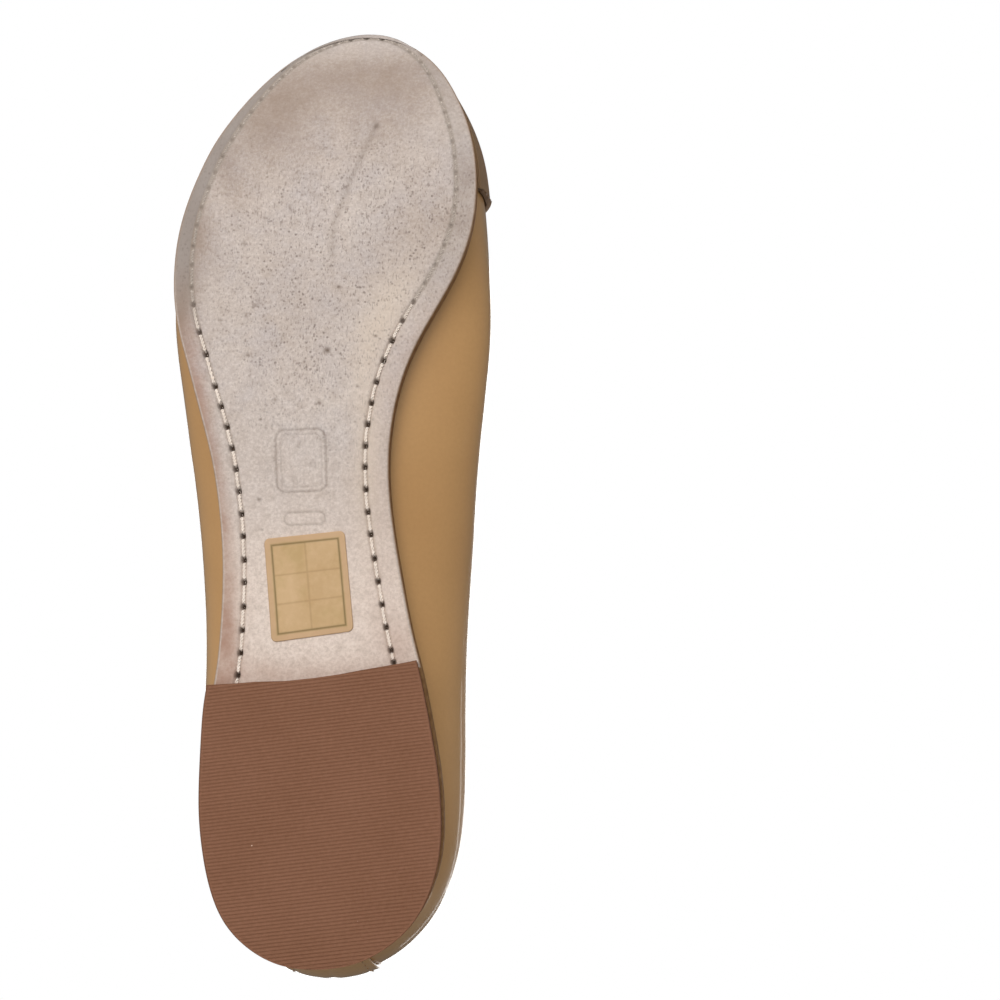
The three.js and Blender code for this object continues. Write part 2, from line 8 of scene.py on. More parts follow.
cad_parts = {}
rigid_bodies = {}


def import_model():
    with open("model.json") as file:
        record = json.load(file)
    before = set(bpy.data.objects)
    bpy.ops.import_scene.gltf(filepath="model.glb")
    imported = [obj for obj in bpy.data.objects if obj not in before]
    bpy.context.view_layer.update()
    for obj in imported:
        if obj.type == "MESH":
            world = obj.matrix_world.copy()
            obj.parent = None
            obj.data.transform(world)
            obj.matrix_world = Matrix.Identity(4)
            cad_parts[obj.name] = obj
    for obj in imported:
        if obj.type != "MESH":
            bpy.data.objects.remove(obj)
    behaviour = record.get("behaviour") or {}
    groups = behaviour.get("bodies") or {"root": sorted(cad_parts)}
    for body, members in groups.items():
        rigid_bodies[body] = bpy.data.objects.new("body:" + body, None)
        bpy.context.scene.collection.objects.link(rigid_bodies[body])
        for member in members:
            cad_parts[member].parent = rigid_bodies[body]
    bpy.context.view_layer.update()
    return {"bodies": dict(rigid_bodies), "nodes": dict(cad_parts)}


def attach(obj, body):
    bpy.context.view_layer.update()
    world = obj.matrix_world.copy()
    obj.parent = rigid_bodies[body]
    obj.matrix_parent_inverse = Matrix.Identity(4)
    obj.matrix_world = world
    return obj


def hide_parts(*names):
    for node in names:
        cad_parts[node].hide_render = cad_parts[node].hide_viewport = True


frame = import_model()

ROOT = next(iter(frame["bodies"]))
rng = np.random.default_rng(7)

# ------------------------------------------------------------------ shared dimensions, mm
SOLE_T, SOLE_BEVEL = 4.0, 0.5
TOE_Y, TOE_SPRING, SPRING_LEN, SPRING_POW = -141.75, 13.0, 80.0, 2.8
WAIST_FROM, WAIST_TO, HEEL_H, LIFT_T = 95.0, 185.0, 6.0, 2.0
GAP, FEATHER, MARGIN = 0.3, 2.0, 11.0
UPPER_T, LAYER_T, LINING_T, CAP_T, STAY_T = 1.2, 0.8, 0.8, 1.1, 0.9
STAY_W, CAP_Y = 22.0, -94.0
BOARD_T, FOAM_T, SOCK_T = 2.0, 2.0, 1.0
BOARD_IN, SOCK_IN, WELT_IN = 4.6, 6.6, 5.8
STITCH_FROM, STITCH_TO = 22.5, 42.4
HEEL_U0, HEEL_U1 = 22.45, 42.3
# row frame minus drawing frame
SHIFT = np.array([2.4803, 7.7795, 0.0])

ST = np.array([
    [4.36,-141.49,4.39,-141.91,9,-2,-78,42,5],
    [-4.79,-139.43,-5.18,-140.31,8.87,-5.65,-77.69,42.03,5.25],
    [-12.95,-134.63,-13.72,-135.66,8.84,-9.25,-76.82,42.11,6.08],
    [-19.83,-128.13,-20.96,-129.2,8.89,-12.76,-75.42,42.23,7.62],
    [-25.77,-120.74,-27.11,-121.75,9,-16.17,-73.53,42.4,10],
    [-31.07,-112.87,-32.49,-113.75,9.15,-19.43,-71.12,42.62,13.31],
    [-35.71,-104.62,-37.15,-105.3,9.36,-22.51,-68.2,42.89,17.48],
    [-39.33,-95.86,-41.05,-96.49,9.64,-25.35,-64.75,43.21,22.41],
    [-42.33,-86.86,-44.28,-87.37,10,-27.93,-60.76,43.6,28],
    [-44.44,-77.62,-46.81,-77.94,10.46,-30.23,-56.26,44.05,34.11],
    [-45.35,-68.19,-48.41,-68.22,11,-32.27,-51.26,44.54,40.39],
    [-45.09,-58.72,-48.96,-58.26,11.64,-34.05,-45.75,45.07,46.48],
    [-43.51,-49.38,-48.47,-48.26,12.5,-35.56,-39.72,45.6,52],
    [-40.93,-40.25,-47.38,-38.49,13.66,-36.79,-33.16,46.13,56.64],
    [-38.35,-31.13,-46.2,-28.98,15,-37.7,-26.04,46.64,60.45],
    [-35.82,-21.99,-45.12,-19.67,16.33,-38.22,-18.34,47.14,63.53],
    [-33.53,-12.79,-44.15,-10.65,17.5,-38.2,-10.05,47.6,66],
    [-31.95,-3.44,-43.31,-1.87,18.39,-37.49,-0.85,48.03,67.97],
    [-30.94,5.98,-42.56,6.91,19,-36.58,8.32,48.47,69.56],
    [-30.45,15.45,-41.93,15.75,19.36,-35.95,17.52,48.94,70.87],
    [-30.5,24.93,-41.39,24.71,19.5,-35.51,26.73,49.5,72],
    [-30.93,34.41,-40.92,33.81,19.44,-35.18,35.94,50.17,73.06],
    [-31.7,43.86,-40.62,43.1,19.22,-34.96,45.16,50.97,74.06],
    [-32.95,53.25,-40.45,52.65,18.89,-34.79,54.38,51.91,75.04],
    [-33.41,62.72,-40.13,62.45,18.5,-34.56,63.6,53,76],
    [-33.55,72.2,-39.55,72.25,18.08,-34.11,72.81,54.25,76.96],
    [-33.29,81.68,-38.56,82.1,17.68,-33.2,81.98,55.67,77.94],
    [-32.07,91.08,-36.87,92.01,17.31,-31.57,91.05,57.25,78.95],
    [-29.84,100.29,-34.01,101.9,17,-28.69,99.8,59,80],
    [-25.84,108.85,-29.21,111.45,16.78,-24.1,107.77,60.85,81.08],
    [-19.15,115.5,-21.79,119.67,16.63,-17.82,114.49,62.5,82.05],
    [-10.64,119.55,-12.05,125.23,16.54,-10.1,119.48,63.6,82.75],
    [-1.23,120.49,-1.12,127.03,16.5,-1.2,121.6,64,83],
    [8.12,119.12,9.7,124.84,16.49,7.74,119.45,63.6,82.71],
    [16.64,115.03,19.23,119.26,16.55,15.49,114.43,62.5,81.99],
    [23.62,108.67,26.62,111.26,16.71,21.83,107.69,60.86,81.02],
    [28.13,100.36,31.43,101.82,17,26.35,99.64,59,80],
    [30.39,91.19,33.9,91.75,17.46,28.88,90.74,57.23,79.05],
    [30.71,81.72,34.8,81.64,18.11,30,81.55,55.62,78.13],
    [29.97,72.27,34.96,71.66,18.95,30.37,72.29,54.2,77.14],
    [28.47,62.91,34.86,61.76,20,30.32,63.02,53,76],
    [26.65,53.6,34.72,51.86,21.23,30.08,53.76,52.02,74.64],
    [24.6,44.34,34.68,41.99,22.5,29.84,44.5,51.23,73.12],
    [22.22,35.16,34.92,32.35,23.64,29.77,35.23,50.57,71.54],
    [20.24,25.89,35.47,22.9,24.5,29.92,25.97,50,70],
    [18.51,16.57,36.14,13.58,24.96,30.3,16.71,49.47,68.56],
    [16.98,7.21,36.74,4.62,25,30.84,7.46,48.97,67.16],
    [15.86,-2.21,37.28,-3.65,24.65,31.45,-1.78,48.48,65.67],
    [15.5,-11.68,37.84,-11.17,24,32,-11.03,48,64],
    [16.2,-21.13,38.48,-18.18,23.13,32.33,-19.31,47.52,62.01],
    [17.98,-30.44,39.26,-25.03,22,32.26,-27.01,47.04,59.5],
    [20.91,-39.45,40.14,-32.12,20.57,31.71,-34.13,46.53,56.24],
    [24.95,-48.02,41.11,-40.18,19,30.67,-40.67,46,52],
    [29.59,-56.29,42.07,-49.78,17.46,29.19,-46.64,45.44,46.66],
    [33.96,-64.7,42.33,-60.78,16,27.42,-52.07,44.87,40.58],
    [37.26,-73.58,41.87,-71.95,14.67,25.46,-57.02,44.31,34.21],
    [39.07,-82.88,41.23,-82.42,13.5,23.29,-61.48,43.8,28],
    [39.38,-92.35,40.35,-92.32,12.53,20.82,-65.42,43.35,22.36],
    [38.44,-101.78,39,-101.86,11.73,18.02,-68.77,42.97,17.43],
    [36.14,-110.97,36.34,-110.99,11.07,14.97,-71.55,42.65,13.28],
    [32.64,-119.77,32.27,-119.58,10.5,11.75,-73.81,42.4,10],
    [28,-128.03,27.34,-127.55,10,8.42,-75.58,42.21,7.63],
    [21.7,-135.09,21.29,-134.58,9.57,5,-76.89,42.09,6.09],
    [13.68,-140.07,13.65,-139.87,9.24,1.52,-77.71,42.02,5.26],
], float)
K = len(ST)
BREAST = np.array([[19.49, 42.47], [9.31, 44.17], [2.99, 45.35], [-3.41, 46.27], [-11.17, 47.06], [-18.83, 47.24], [-25.42, 47.72]])
LABEL = np.array([[-18.76, 8.73], [3.37, 6.54], [5.98, 33.67], [-16.40, 36.72]])
HOLES_L = np.array([(-17.8, -127.0), (-20.7, -122.8), (-23.0, -118.8), (-25.6, -114.7), (-28.3, -110.0), (-30.7, -105.8), (-32.8, -100.5), (-34.8, -95.5), (-36.7, -90.9), (-38.1, -84.9), (-39.3, -79.7), (-40.2, -73.5), (-40.3, -68.1), (-39.9, -61.6), (-39.4, -56.6), (-37.9, -48.8), (-35.9, -42.4), (-32.4, -33.5), (-30.8, -27.9), (-29.2, -22.2), (-27.9, -16.2), (-26.8, -10.5), (-25.9, -4.4), (-25.3, 1.7), (-24.7, 7.9), (-24.3, 14.4), (-24.4, 20.5), (-24.5, 27.0), (-24.8, 33.4), (-25.1, 39.7), (-25.6, 45.7)])
HOLES_R = np.array([(15.0, -138.9), (19.0, -135.0), (22.2, -130.6), (24.9, -126.4), (27.1, -121.8), (28.8, -117.3), (30.1, -112.8), (31.3, -108.1), (32.4, -103.3), (33.2, -98.6), (33.6, -93.8), (33.7, -88.3), (33.4, -83.3), (32.3, -77.9), (30.9, -72.2), (28.3, -66.7), (25.2, -61.7), (22.2, -56.4), (19.0, -51.2), (16.3, -45.5), (14.1, -39.9), (12.1, -34.1), (10.6, -28.3), (9.6, -22.4), (9.2, -16.5), (9.0, -10.8), (9.0, -4.7), (9.8, 1.5), (10.6, 7.6), (11.5, 14.0), (12.5, 20.3), (13.6, 26.5), (14.8, 32.7), (16.2, 38.9), (16.8, 42.2)])

# ------------------------------------------------------------------ curves and surfaces
_rhs = 6 * (np.roll(ST, 1, 0) - 2 * ST + np.roll(ST, -1, 0))
_M2 = np.real(np.fft.ifft(np.fft.fft(_rhs, axis=0) / (4 + 2 * np.cos(2 * np.pi * np.arange(K) / K))[:, None], axis=0))


def row(u, d=0):
    u = np.asarray(u, float)
    i = np.floor(u).astype(int)
    t = (u - i)[..., None]
    a, b, ma, mb = ST[i % K], ST[(i + 1) % K], _M2[i % K], _M2[(i + 1) % K]
    if d:
        return b - a + (-(3 * (1 - t) ** 2 - 1) * ma + (3 * t ** 2 - 1) * mb) / 6
    return (1 - t) * a + t * b + (((1 - t) ** 3 - (1 - t)) * ma + (t ** 3 - t) * mb) / 6


def edge(u, inset=0.0):
    """Point of the outsole outline moved inward, and the outward normal."""
    p, g = row(u)[..., :2], row(u, 1)[..., :2]
    g = g / np.linalg.norm(g, axis=-1, keepdims=True)
    n = np.stack([g[..., 1], -g[..., 0]], -1)          # toe to lateral runs clockwise seen from above
    n = n * OUT
    return p - n * np.asarray(inset)[..., None], n


OUT = 1.0
if edge(np.array(0.0))[1][1] > 0:
    OUT = -1.0


def sole_z(y):
    s = np.asarray(y, float) - TOE_Y
    t = np.clip((s - WAIST_FROM) / (WAIST_TO - WAIST_FROM), 0, 1)
    return np.where(s < SPRING_LEN, TOE_SPRING * np.clip(1 - s / SPRING_LEN, 0, 2) ** SPRING_POW, HEEL_H * t * t * (3 - 2 * t))


def top_z(y):
    return sole_z(y) + SOLE_T


def xyz(xy, z):
    return np.concatenate([xy, np.broadcast_to(np.asarray(z, float), xy.shape[:-1])[..., None]], -1)


def hermite(p0, m0, p1, m1, t):
    t = t[..., None]
    t2, t3 = t * t, t * t * t
    return p0 * (2 * t3 - 3 * t2 + 1) + m0 * (t3 - 2 * t2 + t) + p1 * (-2 * t3 + 3 * t2) + m1 * (t3 - t2)


def S(u, v):
    """Outer face of the upper: v -1..0 lasting margin, 0..0.5 feather to the widest line, 0.5..1 to the topline."""
    u, v = np.broadcast_arrays(np.asarray(u, float), np.asarray(v, float))
    r = row(u)
    e, _ = edge(u, FEATHER - np.minimum(v, 0) * MARGIN)
    flange = xyz(e, top_z(e[..., 1]) + GAP)
    e, _ = edge(u, FEATHER)
    F = xyz(e, top_z(e[..., 1]) + GAP)
    M = xyz(r[..., 2:4], top_z(e[..., 1]) + r[..., 4])
    T = r[..., 5:8]
    L = np.linalg.norm(M - F, axis=-1, keepdims=True)
    o = (M - F) * np.array([1, 1, 0])
    b = np.linalg.norm(o, axis=-1, keepdims=True)
    ang = np.maximum(0.45, np.arctan2(r[..., 4:5], b) - 0.3)
    m0 = o / b * np.cos(ang) * L + np.array([0, 0, 1]) * np.sin(ang) * L
    A = hermite(F, m0, M, np.array([0, 0, 0.9]) * L, np.clip(v * 2, 0, 1))
    L = np.linalg.norm(T - M, axis=-1, keepdims=True)
    d = (T - M) * np.array([1, 1, 0])
    d = d / np.linalg.norm(d, axis=-1, keepdims=True)
    el = np.radians(r[..., 8:9])
    B = hermite(M, np.array([0, 0, 0.8]) * L, T, (d * np.cos(el) + np.array([0, 0, 1]) * np.sin(el)) * L * 0.9, np.clip(v * 2 - 1, 0, 1))
    v = v[..., None]
    return np.where(v < 0, flange, np.where(v < 0.5, A, B))


def frame_at(u, v):
    """Outward normal and the direction up the wall."""
    u, v = np.broadcast_arrays(np.asarray(u, float), np.asarray(v, float))
    lo, hi = np.maximum(-1, v - 0.012), np.minimum(1, v + 0.012)
    a, b = S(u + 0.06, v) - S(u - 0.06, v), S(u, hi) - S(u, lo)
    n = np.cross(a, b)
    n /= np.linalg.norm(n, axis=-1, keepdims=True)
    t = b / np.linalg.norm(b, axis=-1, keepdims=True)
    return n * NSIGN, t


NSIGN = 1.0
if frame_at(32.0, 0.5)[0][1] < 0:
    NSIGN = -1.0


def at(u, v, d):
    n, _ = frame_at(u, v)
    return S(u, v) + n * np.asarray(d, float)[..., None]


def solve_v(u, test):
    a, b = np.zeros_like(u), np.ones_like(u)
    for _ in range(30):
        m = (a + b) / 2
        ok = test(u, m)
        b = np.where(ok, m, b)
        a = np.where(ok, a, m)
    return b


def foot_v(u):
    e, _ = edge(u, FEATHER)
    return solve_v(u, lambda q, m: S(q, m)[..., 2] > top_z(e[..., 1]) + GAP + 4.6)


def smoothstep(a, b, x):
    t = np.clip((x - a) / (b - a), 0, 1)
    return t * t * (3 - 2 * t)


def value_noise(p, scale, seed=0, octaves=3):
    """Smooth 3-D noise in -1..1 for points p (mm)."""
    out, amp, tot = 0.0, 1.0, 0.0
    for o in range(octaves):
        q = p / scale + 17.3 * (o + 1) + seed * 7.77
        i = np.floor(q).astype(np.int64)
        f = q - i
        f = f * f * (3 - 2 * f)
        acc = 0.0
        for dx in (0, 1):
            for dy in (0, 1):
                for dz in (0, 1):
                    h = (i[..., 0] + dx) * 374761393 + (i[..., 1] + dy) * 668265263 + (i[..., 2] + dz) * 2147483647 + seed * 974634777
                    h = (h ^ (h >> 13)) * 1274126177
                    h = ((h ^ (h >> 16)) & 0xFFFF) / 32767.5 - 1
                    w = (f[..., 0] if dx else 1 - f[..., 0]) * (f[..., 1] if dy else 1 - f[..., 1]) * (f[..., 2] if dz else 1 - f[..., 2])
                    acc = acc + h * w
        out = out + acc * amp
        tot += amp
        amp *= 0.5
        scale = scale / 2
    return out / tot


# ------------------------------------------------------------------ mesh helpers
def make(name, verts, faces, mat, node=(), uv=None, attrs=None, smooth=True):
    """verts in drawing mm; faces as an (n, 4) or (n, 3) array or a list of arrays."""
    P = (np.asarray(verts, float).reshape(-1, 3) + SHIFT) * 0.001
    groups = faces if isinstance(faces, list) else [faces]
    me = bpy.data.meshes.new(name)
    loops = np.concatenate([np.asarray(g).reshape(-1) for g in groups]).astype(np.int32)
    sizes = np.concatenate([np.full(len(g), np.asarray(g).shape[1]) for g in groups]).astype(np.int32)
    me.vertices.add(len(P))
    me.vertices.foreach_set("co", P.astype(np.float32).reshape(-1))
    me.loops.add(len(loops))
    me.loops.foreach_set("vertex_index", loops)
    me.polygons.add(len(sizes))
    me.polygons.foreach_set("loop_start", np.concatenate([[0], np.cumsum(sizes)[:-1]]).astype(np.int32))
    me.update(calc_edges=True)
    me.validate()
    if uv is not None:
        lay = me.uv_layers.new(name="UVMap")
        idx = np.empty(len(me.loops), np.int32)
        me.loops.foreach_get("vertex_index", idx)
        lay.data.foreach_set("uv", np.asarray(uv, np.float32).reshape(-1, 2)[idx].reshape(-1))
    for key, val in (attrs or {}).items():
        a = me.attributes.new(key, "FLOAT", "POINT")
        a.data.foreach_set("value", np.asarray(val, np.float32).reshape(-1))
    ob = bpy.data.objects.new(name, me)
    bpy.context.scene.collection.objects.link(ob)
    import_bm(me)
    if smooth:
        me.polygons.foreach_set("use_smooth", np.ones(len(me.polygons), bool))
    me.materials.append(mat)
    me.update()
    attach(ob, ROOT)
    if node:
        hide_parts(*([node] if isinstance(node, str) else node))
    return ob


def import_bm(me):
    """Faces outward."""
    import bmesh
    bm = bmesh.new()
    bm.from_mesh(me)
    bmesh.ops.remove_doubles(bm, verts=bm.verts, dist=1e-7)
    bmesh.ops.dissolve_degenerate(bm, edges=bm.edges, dist=1e-7)
    bmesh.ops.recalc_face_normals(bm, faces=bm.faces)
    bm.to_mesh(me)
    bm.free()


def tube_faces(n, m, closed):
    """Ring of n sections with m points each."""
    L = n if closed else n - 1
    i = np.arange(L)[:, None]
    j = np.arange(m)[None, :]
    a, b = i * m + j, i * m + (j + 1) % m
    c, d = ((i + 1) % n) * m + (j + 1) % m, ((i + 1) % n) * m + j
    return np.stack([a, b, c, d], -1).reshape(-1, 4)


def mirror_caps(n, m):
    """Caps for sections whose point k faces point m-1-k."""
    k = np.arange(m // 2 - 1)
    q = np.stack([k, k + 1, m - 2 - k, m - 1 - k], -1)
    return np.concatenate([q, q + (n - 1) * m])


def patch(name, us, rows, d_out, d_in, mat, node=(), disp=None, fat=(0, 0), attrs=None, seg=3):
    """Thick sheet between two offsets of the upper's surface, with rounded rims. rows(u) -> (nu, nv)."""
    U = us[:, None]
    V = rows(us)
    N, T = frame_at(U, V)
    P = S(U, V)
    dd = 0.0 if disp is None else disp(U, V, P)
    o = P + N * (d_out + dd)[..., None] if not np.isscalar(d_out + dd) else P + N * (d_out + dd)
    i = P + N * (d_in + (0.0 if disp is None else dd * 0.6))[..., None] if not np.isscalar(dd) else P + N * d_in
    c, r = (d_out + d_in) / 2, (d_out - d_in) / 2
    ang = np.linspace(np.pi / 2, -np.pi / 2, seg + 2)[1:-1]

    def rim(j, sgn, extra):
        res = []
        for q in ang:
            res.append(((o[:, j] + i[:, j]) / 2) + N[:, j] * (r + extra) * np.sin(q) + sgn * T[:, j] * (r + extra) * np.cos(q))
        return res
    top = rim(-1, 1, fat[1])
    bot = rim(0, -1, fat[0])            # outer to inner
    h = len(bot) // 2
    bot_o, bot_i = bot[:h][::-1], bot[h:][::-1]
    mid_b = [bot[h]] if len(bot) % 2 else []
    # section: from the middle of the bottom rim, up the outside, over the top rim, down the inside
    sec = []
    if len(bot) % 2:
        sec += [bot[h]] + bot_o
        closing = [bot[h] * 1.0] + bot[h + 1:]
        inner_tail = bot[h + 1:][::-1]
    else:
        sec += bot_o
        inner_tail = bot[h:][::-1]
    sec_b = len(sec)
    sec += [o[:, j] for j in range(o.shape[1])] + top + [i[:, j] for j in range(i.shape[1] - 1, -1, -1)] + inner_tail
    A = np.stack(sec, 1)                # nu, m, 3
    n, m = A.shape[:2]
    # arc lengths for weaves and grain
    su = np.concatenate([[0], np.cumsum(np.linalg.norm(np.diff(P[:, P.shape[1] // 2], axis=0), axis=1))])
    sv = np.concatenate([np.zeros((n, 1)), np.cumsum(np.linalg.norm(np.diff(A, axis=1), axis=2), axis=1)], 1)
    uv = np.stack([np.broadcast_to(su[:, None], (n, m)), sv], -1)
    F = tube_faces(n, m, False)
    caps = []
    if attrs is not None:
        vv = np.concatenate([np.repeat(V[:, :1], sec_b, 1), V, np.repeat(V[:, -1:], len(top), 1), V[:, ::-1], np.repeat(V[:, :1], m - sec_b - 2 * V.shape[1] - len(top), 1)], 1)
        attrs = {k: f(vv) for k, f in attrs.items()}
    if m % 2 == 0:
        caps = mirror_caps(n, m)
    else:
        k = np.arange(1, m // 2)
        q = np.stack([k, k + 1, m - 1 - k, m - k], -1)
        tri = np.array([[0, 1, m - 1], [(n - 1) * m, (n - 1) * m + 1, n * m - 1]])
        caps = np.concatenate([q, q + (n - 1) * m])
        return make(name, A, [F, caps, tri], mat, node, uv=uv * 0.001, attrs=attrs)
    return make(name, A, [F, caps], mat, node, uv=uv * 0.001, attrs=attrs)


def sweep(points, radius, sides=6, normals=None, squash=1.0, taper=True):
    """Closed tube along points (n, 3); returns verts and faces."""
    n = len(points)
    t = np.gradient(points, axis=0)
    t /= np.linalg.norm(t, axis=1, keepdims=True)
    ref = normals if normals is not None else np.tile([0.0, 0.0, 1.0], (n, 1))
    a = ref - t * np.sum(ref * t, 1, keepdims=True)
    a /= np.linalg.norm(a, axis=1, keepdims=True)
    b = np.cross(t, a)
    ang = np.arange(sides) / sides * 2 * np.pi
    r = np.full(n, radius) if np.isscalar(radius) else np.asarray(radius)
    V = points[:, None] + (a[:, None] * np.cos(ang)[None, :, None] * squash + b[:, None] * np.sin(ang)[None, :, None]) * r[:, None, None]
    F = tube_faces(n, sides, False)
    k = np.arange(1, sides - 1)
    c0 = np.stack([np.zeros_like(k), k, k + 1], -1)
    return V.reshape(-1, 3), F, np.concatenate([c0, c0 + (n - 1) * sides])


class Parts:
    """Collects several closed pieces into one mesh."""
    def __init__(s):
        s.v, s.q, s.t, s.n, s.a = [], [], [], 0, []

    def add(s, v, q, t=None, a=0.0):
        s.v.append(v)
        s.q.append(q + s.n)
        if t is not None:
            s.t.append(t + s.n)
        s.a.append(np.full(len(v), a) if np.isscalar(a) else a)
        s.n += len(v)

    def build(s, name, mat, node=()):
        f = [np.concatenate(s.q)]
        if s.t:
            f.append(np.concatenate(s.t))
        return make(name, np.concatenate(s.v), f, mat, node, attrs={"shade": np.concatenate(s.a)})


def thread_run(parts, path, normals, pitch, length, radius, rise=0.1, sink=0.28, sides=6, shade=0.0):
    """Row of short stitches along a dense path."""
    s = np.concatenate([[0], np.cumsum(np.linalg.norm(np.diff(path, axis=0), axis=1))])
    count = int(s[-1] // pitch)
    pitch = s[-1] / count
    for k in range(count):
        a = k * pitch + (pitch - length) / 2
        q = np.linspace(a, a + length, 7)
        p = np.stack([np.interp(q, s, path[:, j]) for j in range(3)], 1)
        n = np.stack([np.interp(q, s, normals[:, j]) for j in range(3)], 1)
        n /= np.linalg.norm(n, axis=1, keepdims=True)
        w = np.sin(np.linspace(0, np.pi, 7)) ** 0.55
        p = p + n * (w * (rise + sink) - sink)[:, None]
        rr = radius * (0.72 + 0.28 * w)
        parts.add(*sweep(p, rr, sides, n), a=shade)


# ------------------------------------------------------------------ materials
def lin(r, g, b):
    f = lambda c: (c / 255 / 12.92) if c / 255 <= 0.04045 else ((c / 255 + 0.055) / 1.055) ** 2.4
    return (f(r), f(g), f(b), 1.0)


class Mat:
    """A Principled material with a few shorthand node calls."""
    def __init__(s, name, rough=0.5, **sockets):
        s.m = bpy.data.materials.new(name)
        s.m.use_nodes = True
        s.t = s.m.node_tree
        s.b = s.t.nodes["Principled BSDF"]
        s.b.inputs["Roughness"].default_value = rough
        for k, v in sockets.items():
            s.b.inputs[k.replace("_", " ")].default_value = v
        s.co = s.t.nodes.new("ShaderNodeTexCoord").outputs["Object"]

    def node(s, kind, **kw):
        n = s.t.nodes.new(kind)
        for k, v in kw.items():
            setattr(n, k, v)
        return n

    def link(s, a, b):
        s.t.links.new(a, b)

    def uv(s):
        return s.node("ShaderNodeUVMap", uv_map="UVMap").outputs[0]

    def attr(s, name):
        return s.node("ShaderNodeAttribute", attribute_name=name).outputs["Fac"]

    def scale(s, vec, v):
        n = s.node("ShaderNodeMapping")
        s.link(vec, n.inputs[0])
        n.inputs["Scale"].default_value = v
        return n.outputs[0]

    def noise(s, scale, detail=3.0, rough=0.5, vec=None, dist=0.0):
        n = s.node("ShaderNodeTexNoise")
        s.link(vec if vec is not None else s.co, n.inputs["Vector"])
        n.inputs["Scale"].default_value = scale
        n.inputs["Detail"].default_value = detail
        n.inputs["Roughness"].default_value = rough
        n.inputs["Distortion"].default_value = dist
        return n.outputs["Fac"]

    def voronoi(s, scale, vec=None, feature="F1", out="Distance", rand=1.0):
        n = s.node("ShaderNodeTexVoronoi", feature=feature)
        s.link(vec if vec is not None else s.co, n.inputs["Vector"])
        n.inputs["Scale"].default_value = scale
        n.inputs["Randomness"].default_value = rand
        return n.outputs[out]

    def wave(s, scale, direction="X", dist=0.0, detail=2.0, vec=None, dscale=1.0, profile="SIN"):
        n = s.node("ShaderNodeTexWave", wave_type="BANDS", bands_direction=direction, wave_profile=profile)
        s.link(vec if vec is not None else s.co, n.inputs["Vector"])
        n.inputs["Scale"].default_value = scale
        n.inputs["Distortion"].default_value = dist
        n.inputs["Detail"].default_value = detail
        n.inputs["Detail Scale"].default_value = dscale
        return n.outputs["Fac"]

    def ramp(s, fac, stops, interp="LINEAR"):
        n = s.node("ShaderNodeValToRGB")
        n.color_ramp.interpolation = interp
        e = n.color_ramp.elements
        while len(e) < len(stops):
            e.new(0.5)
        for k, (p, c) in enumerate(stops):
            e[k].position = p
            e[k].color = c if len(c) == 4 else (*c, 1)
        s.link(fac, n.inputs[0])
        return n.outputs[0]

    def math(s, op, a, b=None, c=None, clamp=False):
        n = s.node("ShaderNodeMath", operation=op, use_clamp=clamp)
        for k, x in enumerate((a, b, c)):
            if x is None:
                continue
            if isinstance(x, (int, float)):
                n.inputs[k].default_value = x
            else:
                s.link(x, n.inputs[k])
        return n.outputs[0]

    def remap(s, x, a, b, c=0.0, d=1.0):
        n = s.node("ShaderNodeMapRange", clamp=True)
        s.link(x, n.inputs[0])
        for k, v in enumerate((a, b, c, d)):
            n.inputs[k + 1].default_value = v
        return n.outputs[0]

    def mix(s, fac, a, b, blend="MIX"):
        n = s.node("ShaderNodeMix", data_type="RGBA", blend_type=blend)
        for sock, x in ((n.inputs[0], fac), (n.inputs[6], a), (n.inputs[7], b)):
            if isinstance(x, (int, float)):
                sock.default_value = x
            elif isinstance(x, tuple):
                sock.default_value = x
            else:
                s.link(x, sock)
        return n.outputs[2]

    def color(s, x):
        if isinstance(x, tuple):
            s.b.inputs["Base Color"].default_value = x
        else:
            s.link(x, s.b.inputs["Base Color"])

    def rough(s, x):
        s.link(x, s.b.inputs["Roughness"])

    def bump(s, height, dist, strength=1.0, chain=None):
        n = s.node("ShaderNodeBump")
        n.inputs["Distance"].default_value = dist
        n.inputs["Strength"].default_value = strength
        s.link(height, n.inputs["Height"])
        if chain is not None:
            s.link(chain, n.inputs["Normal"])
        s.link(n.outputs[0], s.b.inputs["Normal"])
        return n.outputs[0]


def patent():
    m = Mat("patent_leather", 0.38, Coat_Weight=1.0, Coat_Roughness=0.09, Coat_IOR=1.5, Specular_IOR_Level=0.4)
    big = m.noise(28, 2, 0.5)
    c = m.ramp(big, [(0.3, lin(190, 145, 93)), (0.7, lin(198, 153, 100))])
    fine = m.noise(900, 2, 0.6)
    c = m.mix(m.remap(fine, 0.35, 0.75, 0.0, 0.10), c, lin(152, 110, 66))
    # painted shade and edge dye: the foot of the upper, where it tucks against the sole, is coloured dark brown for the
    # crease's shadow as well as the dye
    c = m.mix(m.attr("feather_shade_and_dye"), c, lin(74, 44, 24))
    m.color(c)
    m.rough(m.remap(m.noise(160, 3), 0.3, 0.7, 0.34, 0.44))
    m.bump(m.noise(420, 2, 0.5), 0.00002, 0.35)
    return m.m


def cap_cloth():
    m = Mat("toe_cap_textile", 0.85, Sheen_Weight=0.06, Sheen_Roughness=0.5, Specular_IOR_Level=0.25)
    uv = m.uv()
    ribs = m.wave(math.pi / 10 / 0.00062, "Y", 0.6, 2, vec=uv, dscale=3)
    cross = m.wave(math.pi / 10 / 0.00048, "X", 0.8, 2, vec=uv, dscale=3)
    h = m.math("MULTIPLY", ribs, m.math("ADD", m.math("MULTIPLY", cross, 0.45), 0.55))
    n = m.noise(60, 4, 0.6)
    base = m.ramp(n, [(0.3, lin(138, 107, 76)), (0.55, lin(156, 124, 91)), (0.75, lin(170, 139, 104))])
    c = m.mix(m.remap(h, 0.0, 0.7, 0.55, 0.0), base, lin(84, 61, 42))
    m.color(c)
    m.bump(h, 0.00018, 0.9)
    return m.m


